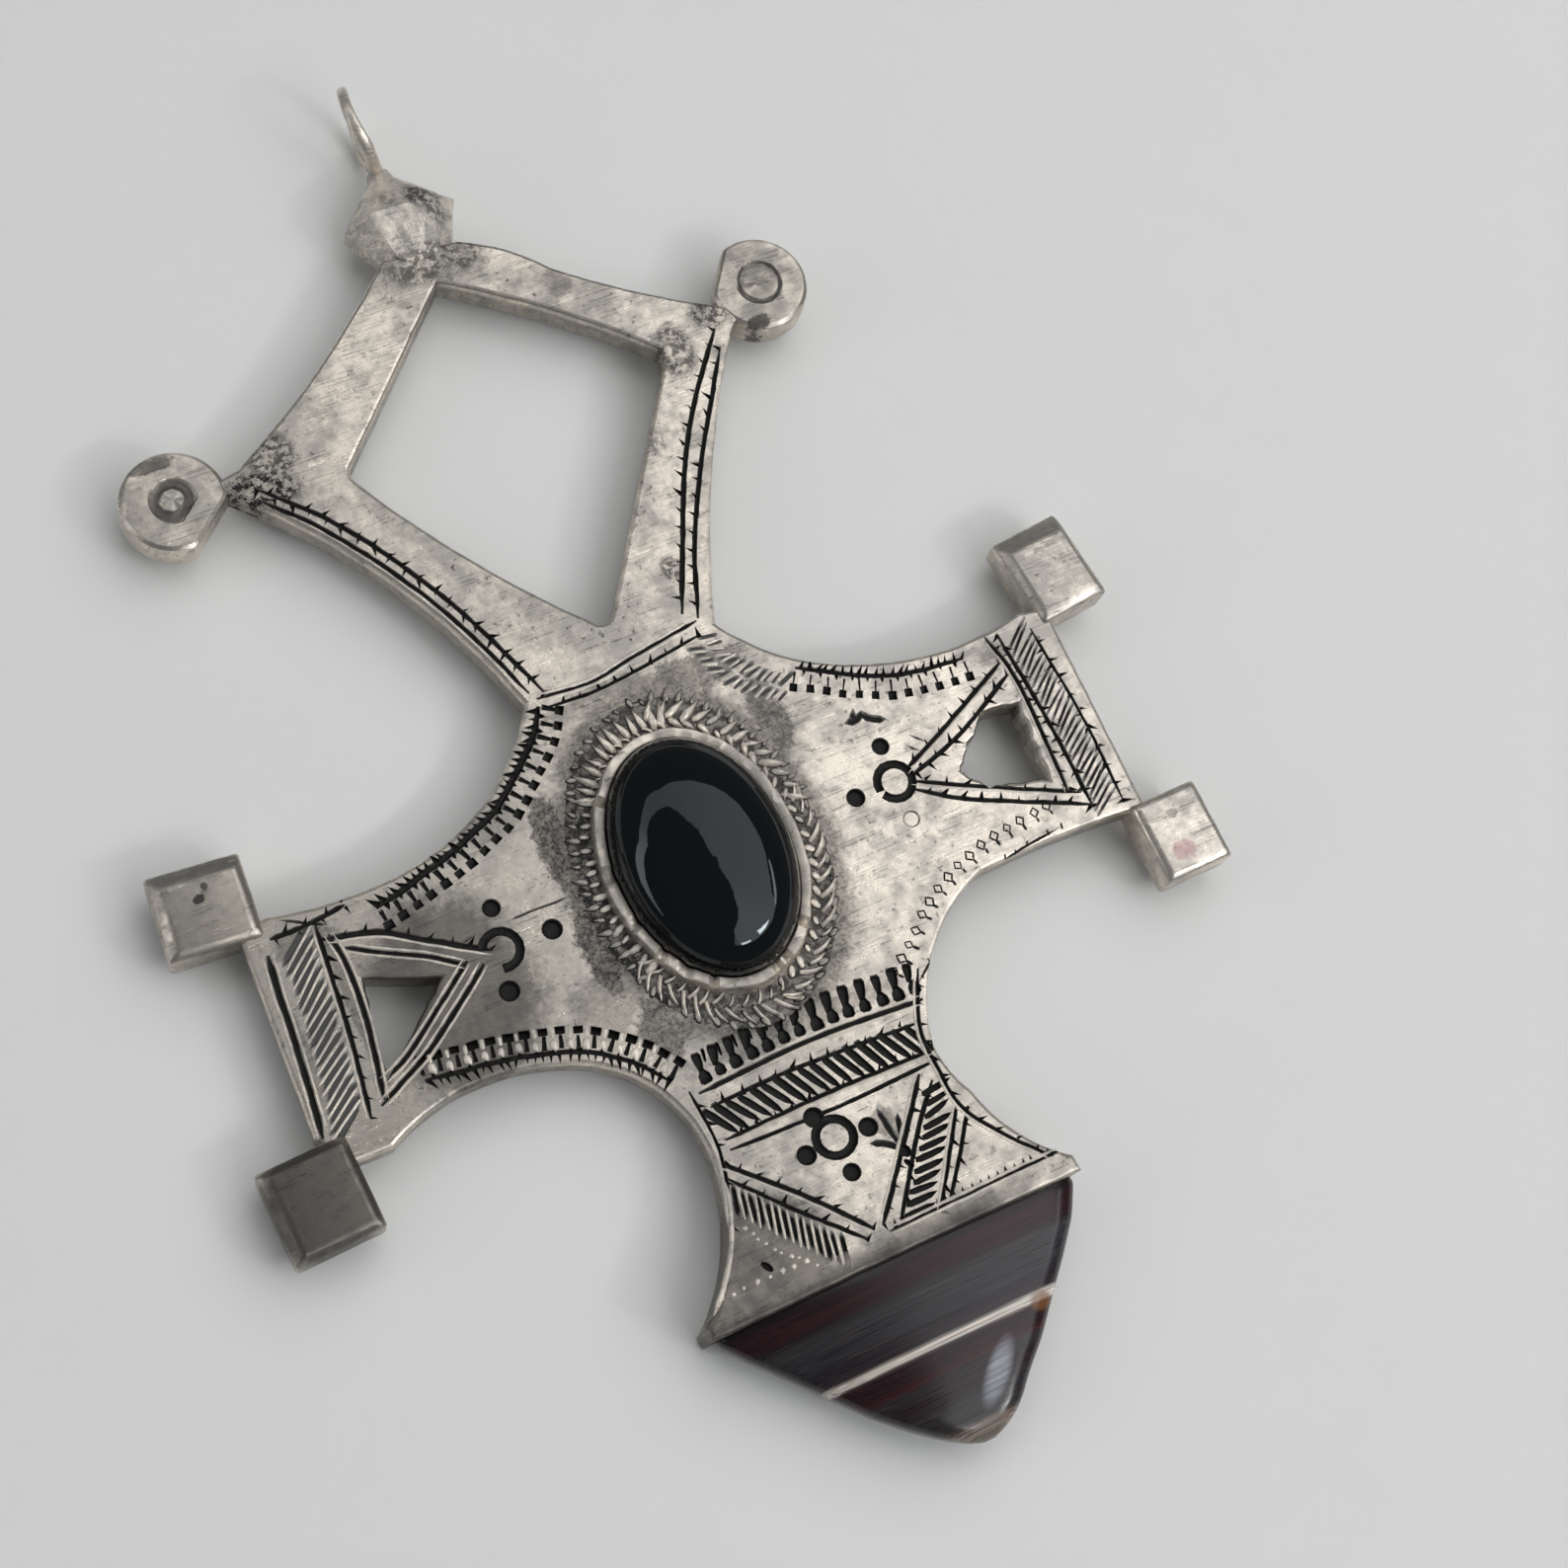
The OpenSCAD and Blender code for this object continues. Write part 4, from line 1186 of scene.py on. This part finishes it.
leaf = {
    "shapes": {  # outline, height, part of its size at the crest
        "flame": ([(-0.5, -0.08), (-0.3, -0.22), (0.0, -0.19), (0.3, -0.07), (0.58, 0.05), (0.2, 0.16),
                   (-0.1, 0.22), (-0.42, 0.13)], 0.25, 0.34),
        "hook": ([(-0.5, -0.13), (-0.2, -0.17), (0.15, -0.1), (0.52, 0.14), (0.44, 0.2), (0.1, 0.1),
                  (-0.2, 0.06), (-0.5, 0.06)], 0.23, 0.4),
        "pad": ([(-0.42, -0.22), (0, -0.3), (0.38, -0.2), (0.5, 0.04), (0.3, 0.24), (-0.1, 0.28),
                 (-0.42, 0.16), (-0.52, 0)], 0.18, 0.45),
    },
    "centre": (-0.08, 0.04),
    "rows": [  # start and end angle, part of the band, pitch, turn, leaf, size, finish
        (78, 140, 0.4, 0.7, -92, "flame", (1.75, 1.3, 1.1), leafSilver),
        (80, 138, 0.12, 0.76, -60, "hook", (0.8, 0.9, 0.8), leafSilver),
        (84, 140, 0.98, 0.95, -70, "pad", (0.7, 0.6, 0.7), padSilver),
        (12, 80, 0.18, 0.95, 140, "flame", (1.3, 1.2, 1.0), leafSilver),
        (8, 84, 0.68, 0.95, -126, "flame", (1.75, 1.25, 1.1), leafSilver),
        (10, 80, 1.06, 0.9, -100, "flame", (0.9, 0.9, 0.8), padSilver),
        (-80, 12, 0.16, 0.98, 42, "pad", (0.85, 0.8, 0.8), leafSilver),
        (-78, 10, 0.66, 0.98, -46, "hook", (1.65, 1.4, 1.1), leafSilver),
        (-76, 10, 0.86, 0.98, -30, "pad", (0.9, 0.8, 0.7), padSilver),
        (-150, -80, 0.24, 0.86, 52, "hook", (1.2, 1.1, 0.9), leafSilver),
        (-152, -78, 0.72, 0.86, -56, "hook", (1.6, 1.2, 1.0), leafSilver),
        (-150, -80, 0.98, 1.1, -60, "pad", (0.8, 0.7, 0.7), padSilver),
        (140, 212, 0.3, 0.8, -84, "pad", (1.15, 0.9, 1.0), leafSilver),
        (142, 210, 0.86, 0.88, -112, "flame", (1.0, 1.0, 0.8), padSilver),
    ],
}
marks.update((name, mound(name, *row, leafSilver)) for name, row in leaf["shapes"].items())


def buildLeaves():
    inner = [reach + setting["wall"] + 0.12 for reach in setting["seat"]]
    ground = faceZ + setting["borderTop"]
    rows = []
    for start, end, part, pitch, turn, kind, size, ink in leaf["rows"]:
        a, b = (low + (high - low) * part for low, high in zip(inner, setting["border"]))
        path = ovalPath(leaf["centre"], a, b, start, end, 60)
        rows.append(strike(path, kind, pitch, 0, turn, size, 0.1, 13, 0.25, ink, ground))
    return joined("chasedLeaves", rows)


finishPiece(buildBezel(), "cross_plate", 40)
finishPiece(buildBorderBed(), "cross_plate", 40)
finishPiece(buildLeaves(), "cross_plate", 20)
print("setting made")

# socket lip

lip = {"y": -28.6, "width": 1.55, "left": -12.9, "right": 13.6, "low": 4.4, "top": 5.3}


def buildLip():
    sections = []
    for k in range(91):
        x = lip["left"] + (lip["right"] - lip["left"]) * k / 90
        near = min(x - lip["left"], lip["right"] - x)
        end = 1 - (1 - min(1.0, near / 1.3)) ** 2
        w = (lip["width"] + 0.12 * noise.noise(Vector((x * 0.5, 3.0, 0.0)))) * (0.55 + 0.45 * end)
        top = lip["top"] - 0.06 + 0.05 * noise.noise(Vector((x * 1.7, 8.0, 0.0))) - 0.35 * (1 - end)
        y = lip["y"] + 0.15 * (1 - end)
        sections.append([(x, y + out, z) for out, z in (
            (0.02, lip["low"]), (0, top - 0.4), (0.14, top - 0.14), (0.45, top), (w * 0.55, top - 0.04),
            (w - 0.2, top - 0.12), (w, top - 0.24), (w + 0.1, lip["low"]))])
    return loft("socketLip", sections, lipSilver)


finishPiece(buildLip(), "cross_plate", 40)
print("lip made")

# stones

onyx = {
    "size": (11.8, 16.8, 4.3), "base": 3.88,
    "rows": [(0, 0.97), (0.08, 1), (0.24, 1), (0.4, 0.975), (0.56, 0.92), (0.7, 0.835), (0.82, 0.715),
             (0.91, 0.565), (0.97, 0.37), (1, 0.12)],
}


def makeOnyx():
    graph, at = newMaterial("polishedOnyx")
    dust = graph.noise(at, 9.0, 3.0, 0.6)[0].step(0.62, 0.8)
    swirl = graph.noise(at, 0.5, 3.0)[0]
    base = graph.blend(dust * 0.2 + swirl * 0.1, (0.002, 0.002, 0.0025), (0.014, 0.014, 0.015))
    return shaded(graph, {
        "Base Color": base, "Roughness": 0.035 + dust * 0.05, "Specular IOR Level": 0.42,
        "Specular Tint": (0.86, 0.95, 1.0, 1), "Normal": graph.bump(swirl, 0.04, 0.0002)})


def buildDome():
    w, l, h = onyx["size"]
    cx, cy = setting["middle"]
    rows = [Vector((size, height)) for height, size in onyx["rows"]]
    turns = [polar(2.5 * k) for k in range(144)]
    return loft("onyxDome", [
        [(cx + w / 2 * p.x * c, cy + l / 2 * p.x * s, onyx["base"] + h * min(1.0, p.y)) for c, s in turns]
        for p in [rows[0], *smoothPath(rows[1:], 0.04)]], makeOnyx())


agate = {
    "rows": [  # y, left, right, thickness
        (-27.6, -12, 12.8, 3.9), (-28.65, -12.4, 13.4, 4.2), (-28.95, -12.35, 13.5, 4.35),
        (-31, -10.65, 12.3, 4.4), (-33, -8.85, 10.6, 4.3), (-35, -7.05, 8.75, 4.12), (-37, -5.3, 6.95, 3.8),
        (-38.6, -3.6, 5.2, 3.4), (-39.8, -2.1, 4.1, 2.85), (-40.6, -1, 3.1, 2.2), (-41.1, -0.1, 2.1, 1.4),
        (-41.3, 0.6, 1.4, 0.6)],
    "middle": 2.7, "square": 0.66,
    "bands": [  # y from the tip upwards, colour
        (-41.3, (0.24, 0.21, 0.17)), (-40.3, (0.27, 0.23, 0.19)), (-39.8, (0.04, 0.034, 0.034)),
        (-38.4, (0.040, 0.035, 0.038)), (-37.6, (0.028, 0.014, 0.017)), (-36.6, (0.036, 0.031, 0.034)),
        (-36.25, (0.055, 0.012, 0.015)), (-35.9, (0.028, 0.008, 0.010)), (-35.1, (0.024, 0.008, 0.010)),
        (-34.9, (0.07, 0.045, 0.042)), (-34.76, (0.9, 0.84, 0.74)), (-34.42, (0.8, 0.74, 0.64)),
        (-34.18, (0.04, 0.030, 0.034)), (-33.4, (0.024, 0.017, 0.021)), (-32.9, (0.036, 0.033, 0.036)),
        (-31.2, (0.044, 0.041, 0.043)), (-30.7, (0.026, 0.018, 0.020)), (-30.4, (0.030, 0.008, 0.010)),
        (-29.5, (0.036, 0.009, 0.012)), (-28.9, (0.014, 0.007, 0.008)), (-28.0, (0.008, 0.007, 0.007))],
}


def makeAgate():
    graph, at = newMaterial("bandedAgate")
    parts = graph.split(at)
    bend = graph.noise(graph.turned(at, 0, (0.12, 0.5, 0.5)), 1.0, 2.0)[0] - 0.5
    fibre = graph.noise(graph.turned(at, 1.5, (0.13, 4.2, 2.0)), 1.0, 4.0, 0.7)[0]
    thread = graph.noise(graph.turned(at, -1.0, (0.08, 9.0, 2.0)), 1.0, 2.0, 0.6)[0]
    low, high = agate["bands"][0][0], agate["bands"][-1][0]
    place = (parts[1] + bend * 0.4 + (fibre - 0.5) * 0.2 - low) / (high - low)
    stops = [((y - low) / (high - low), tone) for y, tone in agate["bands"]]
    colour = graph.add("ShaderNodeValToRGB", {0: place}, stops)[0]
    colour = graph.blend(fibre.step(0.5, 0.72) * 0.8, colour, graph.tinted(colour, (2.1, 1.8, 1.8)))
    veil = (1.0 - thread.step(0.36, 0.5)) * 0.75
    colour = graph.blend(veil, colour, graph.tinted(colour, (0.35, 0.22, 0.25)))
    colour = graph.blend(0.4, colour, (0.004, 0.003, 0.004))
    # Painted light: lighter towards the right, where the light falls
    side = (parts[0] * 0.05 + 0.5).step(0.1, 0.95)
    colour = graph.blend(side * 0.45, colour, graph.tinted(colour, (1.8, 1.85, 1.9)))
    rust = (1.0 - (((parts[0] - 7.6) / 0.9) ** 2.0 + ((parts[1] + 34.9) / 0.7) ** 2.0).step(0.2, 1.2)) * 0.7
    colour = graph.blend(rust, colour, (0.22, 0.085, 0.03))
    # A painted highlight: a pale sheen on the tip's right flank
    across = (parts[0] - 3.0) * 0.72 - (parts[1] + 37.7) * 0.69
    along = (parts[0] - 3.0) * 0.69 + (parts[1] + 37.7) * 0.72
    paintedHighlight = 1.0 - ((across / 0.85) ** 2.0 + (along / 2.5) ** 2.0).step(0.0, 1.2)
    paintedHighlight = paintedHighlight * (fibre.step(0.3, 0.7) * 0.5 + 0.35)
    colour = graph.blend(paintedHighlight.low(0.7), colour, (0.46, 0.47, 0.52))
    return shaded(graph, {
        "Base Color": colour, "Roughness": 0.14 + fibre * 0.1, "Specular IOR Level": 0.35, "Coat Weight": 0.1,
        "Coat Roughness": 0.06, "Normal": graph.bump(fibre, 0.1, 0.0001)})


def rounded(value, power):
    # Squares off a circle's sine or cosine
    return copysign(abs(value) ** power, value)


def buildAgate():
    line = []
    rows = [Vector(row) for row in agate["rows"]]
    for a, b in zip(rows, rows[1:]):
        steps = max(2, round(abs(b[0] - a[0]) / 0.22))
        line += [a.lerp(b, k / steps) for k in range(steps)]
    line.append(rows[-1])
    for _ in range(3):
        line = [line[0]] + [(a + b * 2 + c) / 4 for a, b, c in zip(line, line[1:], line[2:])] + [line[-1]]
    turns = [[rounded(part, agate["square"]) for part in polar(3.75 * k)] for k in range(96)]
    return loft("agateTip", [
        [((right + left) / 2 + (right - left) / 2 * c, y, agate["middle"] + thick / 2 * s) for c, s in turns]
        for y, left, right, thick in line], makeAgate())


finishPiece(buildDome(), "onyx_cabochon", 60)
finishPiece(buildAgate(), "agate_tip", 50)
print("stones made")

# hanging ring

bail = {"middle": (-0.2, 57.8, 3.6657), "outer": 3.29, "twist": 11, "wire": 0.85, "width": 0.98, "warp": 0.3}


def buildBail():
    sections = []
    for k in range(120):
        forward, up = polar(3 * k)
        top = (1 + up) / 2  # 0 at the foot, 1 at the top
        wire = bail["wire"] * (1.05 - 0.2 * top)
        width = bail["width"] * (1.0 - 0.25 * top)
        bow = bail["warp"] * (sin(pi * min(1.0, top * 1.05)) - 0.35) * min(1.0, top * 4)
        section = []
        for j in range(16):
            c, s = (rounded(part, 0.7) for part in polar(22.5 * j))
            out = bail["outer"] - wire / 2 + wire / 2 * c
            rough = 1 + 0.012 * noise.noise(Vector((k * 0.3, j * 0.9, 1.0)))
            section.append((width / 2 * s - bow, out * up, out * forward * rough))
        sections.append(section)
    obj = loft("bailRing", sections, ringSilver, True)
    obj.data.transform(Matrix.Translation(bail["middle"]) @ Matrix.Rotation(radians(-bail["twist"]), 4, "Y"))
    return obj


finishPiece(buildBail(), "bail_ring", 60)
print("ring made")

# floor, light and camera

room = {
    "camera": (-42.94, -44.38, 170.48),  # with its line of sight and the frame's upward direction
    "forward": (0.28170, 0.20897, -0.93647), "up": (0.36063, 0.88138, 0.30515),
    "focal": 2700 / 1588,  # in frame widths
    "sensor": 36,
    "clip": (0.005, 20),
    "floor": (0.80, 0.79, 0.77), "world": (0.86, 0.95, 1.0), "worldStrength": 0.15,
    "away": 0.8,  # metres to the light panels
    "floorHalf": 1.2,
    "fill": (40, 58, 0.9, 1.0, 1.35),  # a light without glare: direction, height, distance, width, radiance
    "panels": [  # one strip a panel: compass direction, lower and upper edge in degrees, radiance
        [(-96, 40, 44, 1.1), (-88, 38, 58, 1.8), (-60, 35, 68, 1.9), (-40, 31, 73, 1.8), (-28, 31, 75, 1.7),
         (-20, 40, 75, 1.6), (-8, 43, 76, 1.55), (8, 42, 76, 1.5), (25, 43, 76, 1.45), (40, 47, 75, 1.4),
         (52, 50, 72, 1.3), (68, 52, 69, 1.2), (92, 52, 63, 1.1), (112, 45, 59, 1.1), (134, 43, 52, 1.2),
         (148, 38, 50, 1.9), (160, 22, 38, 2.5), (172, 14, 27, 2.5), (192, 15, 18, 1.6)],
        [(-28, 31, 34, 4.0), (-14, 34, 38, 4.0), (-2, 38, 40, 4.0)],
        [(-60, 37, 46, 20.0), (-50, 36, 44, 24.0), (-42, 36, 41, 20.0)],
        [(-88, 38, 41, 18.0), (-74, 38, 40, 18.0)],
    ],
}


def skyward(compass, height):
    (c, s), (flat, up) = polar(compass), polar(height)
    return Vector((c * flat, s * flat, up))


def linked(name, data):
    obj = bpy.data.objects.new(name, data)
    bpy.context.scene.collection.objects.link(obj)
    return obj


def buildPanels():
    verts, faces, glow = [], [], []
    for rows in room["panels"]:
        between = [tuple(p + (q - p) * k / 4 for p, q in zip(a, b))
                   for a, b in zip(rows, rows[1:]) for k in range(4)]
        for j, (compass, low, high, radiance) in enumerate(between + rows[-1:]):
            n = len(verts)
            if j:
                faces.append((n - 2, n - 1, n + 1, n))
            away = room["away"] * (1 if radiance < 3 else 0.97)  # the brightest stand in front
            verts += [skyward(compass, height) * away for height in (low, high)]
            glow += [(radiance * 0.97, radiance * 0.985, radiance, 1)] * 2
    obj = newObject("lightPanels", verts, faces, [])
    layer = obj.data.attributes.new("glow", "FLOAT_COLOR", "POINT")
    for item, tone in zip(layer.data, glow):
        item.color = tone
    graph, _ = newMaterial("panelGlow")
    light = graph.add("ShaderNodeAttribute", attribute_name="glow")["Color"]
    obj.data.materials.append(shaded(graph, {
        "Base Color": (0, 0, 0, 1), "Emission Color": light, "Emission Strength": 1.0}))
    obj.visible_camera = False


def buildFloor():
    graph, at = newMaterial("paleFloor")
    soft = graph.noise(at, 0.05, 3.0)[0]
    base = graph.blend(soft * 0.25, room["floor"], [c * 0.93 for c in room["floor"]])
    material = shaded(graph, {"Base Color": base, "Roughness": 0.7 + soft * 0.1})
    size = room["floorHalf"]
    floor = newObject("floor", [(-size, -size, 0), (size, -size, 0), (size, size, 0), (-size, size, 0)],
                      [(0, 1, 2, 3)], [material])


def buildSky():
    world = bpy.data.worlds.new("softSky")
    bpy.context.scene.world = world
    world.use_nodes = True
    back = world.node_tree.nodes["Background"]
    back.inputs[0].default_value = (*room["world"], 1)
    back.inputs[1].default_value = room["worldStrength"]
    compass, height, away, wide, radiance = room["fill"]
    light = bpy.data.lights.new("softFill", "AREA")
    light.size = wide
    light.energy = radiance * pi * wide * wide
    holder = linked("softFill", light)
    holder.location = skyward(compass, height) * away
    holder.rotation_euler = (-holder.location).to_track_quat("-Z", "Y").to_euler()
    holder.visible_glossy = False


def placeCamera():
    data = bpy.data.cameras.new("camera")
    data.sensor_width = room["sensor"]
    data.lens = room["sensor"] * room["focal"]
    data.clip_start, data.clip_end = room["clip"]
    camera = linked("camera", data)
    forward = Vector(room["forward"]).normalized()
    right = forward.cross(Vector(room["up"])).normalized()
    basis = Matrix((right, right.cross(forward), -forward)).transposed().to_4x4()
    camera.matrix_world = Matrix.Translation(Vector(room["camera"]) * mm) @ basis
    bpy.context.scene.camera = camera
    bpy.context.scene.view_settings.view_transform = "Standard"


buildFloor()
buildPanels()
buildSky()
placeCamera()
print("room made")
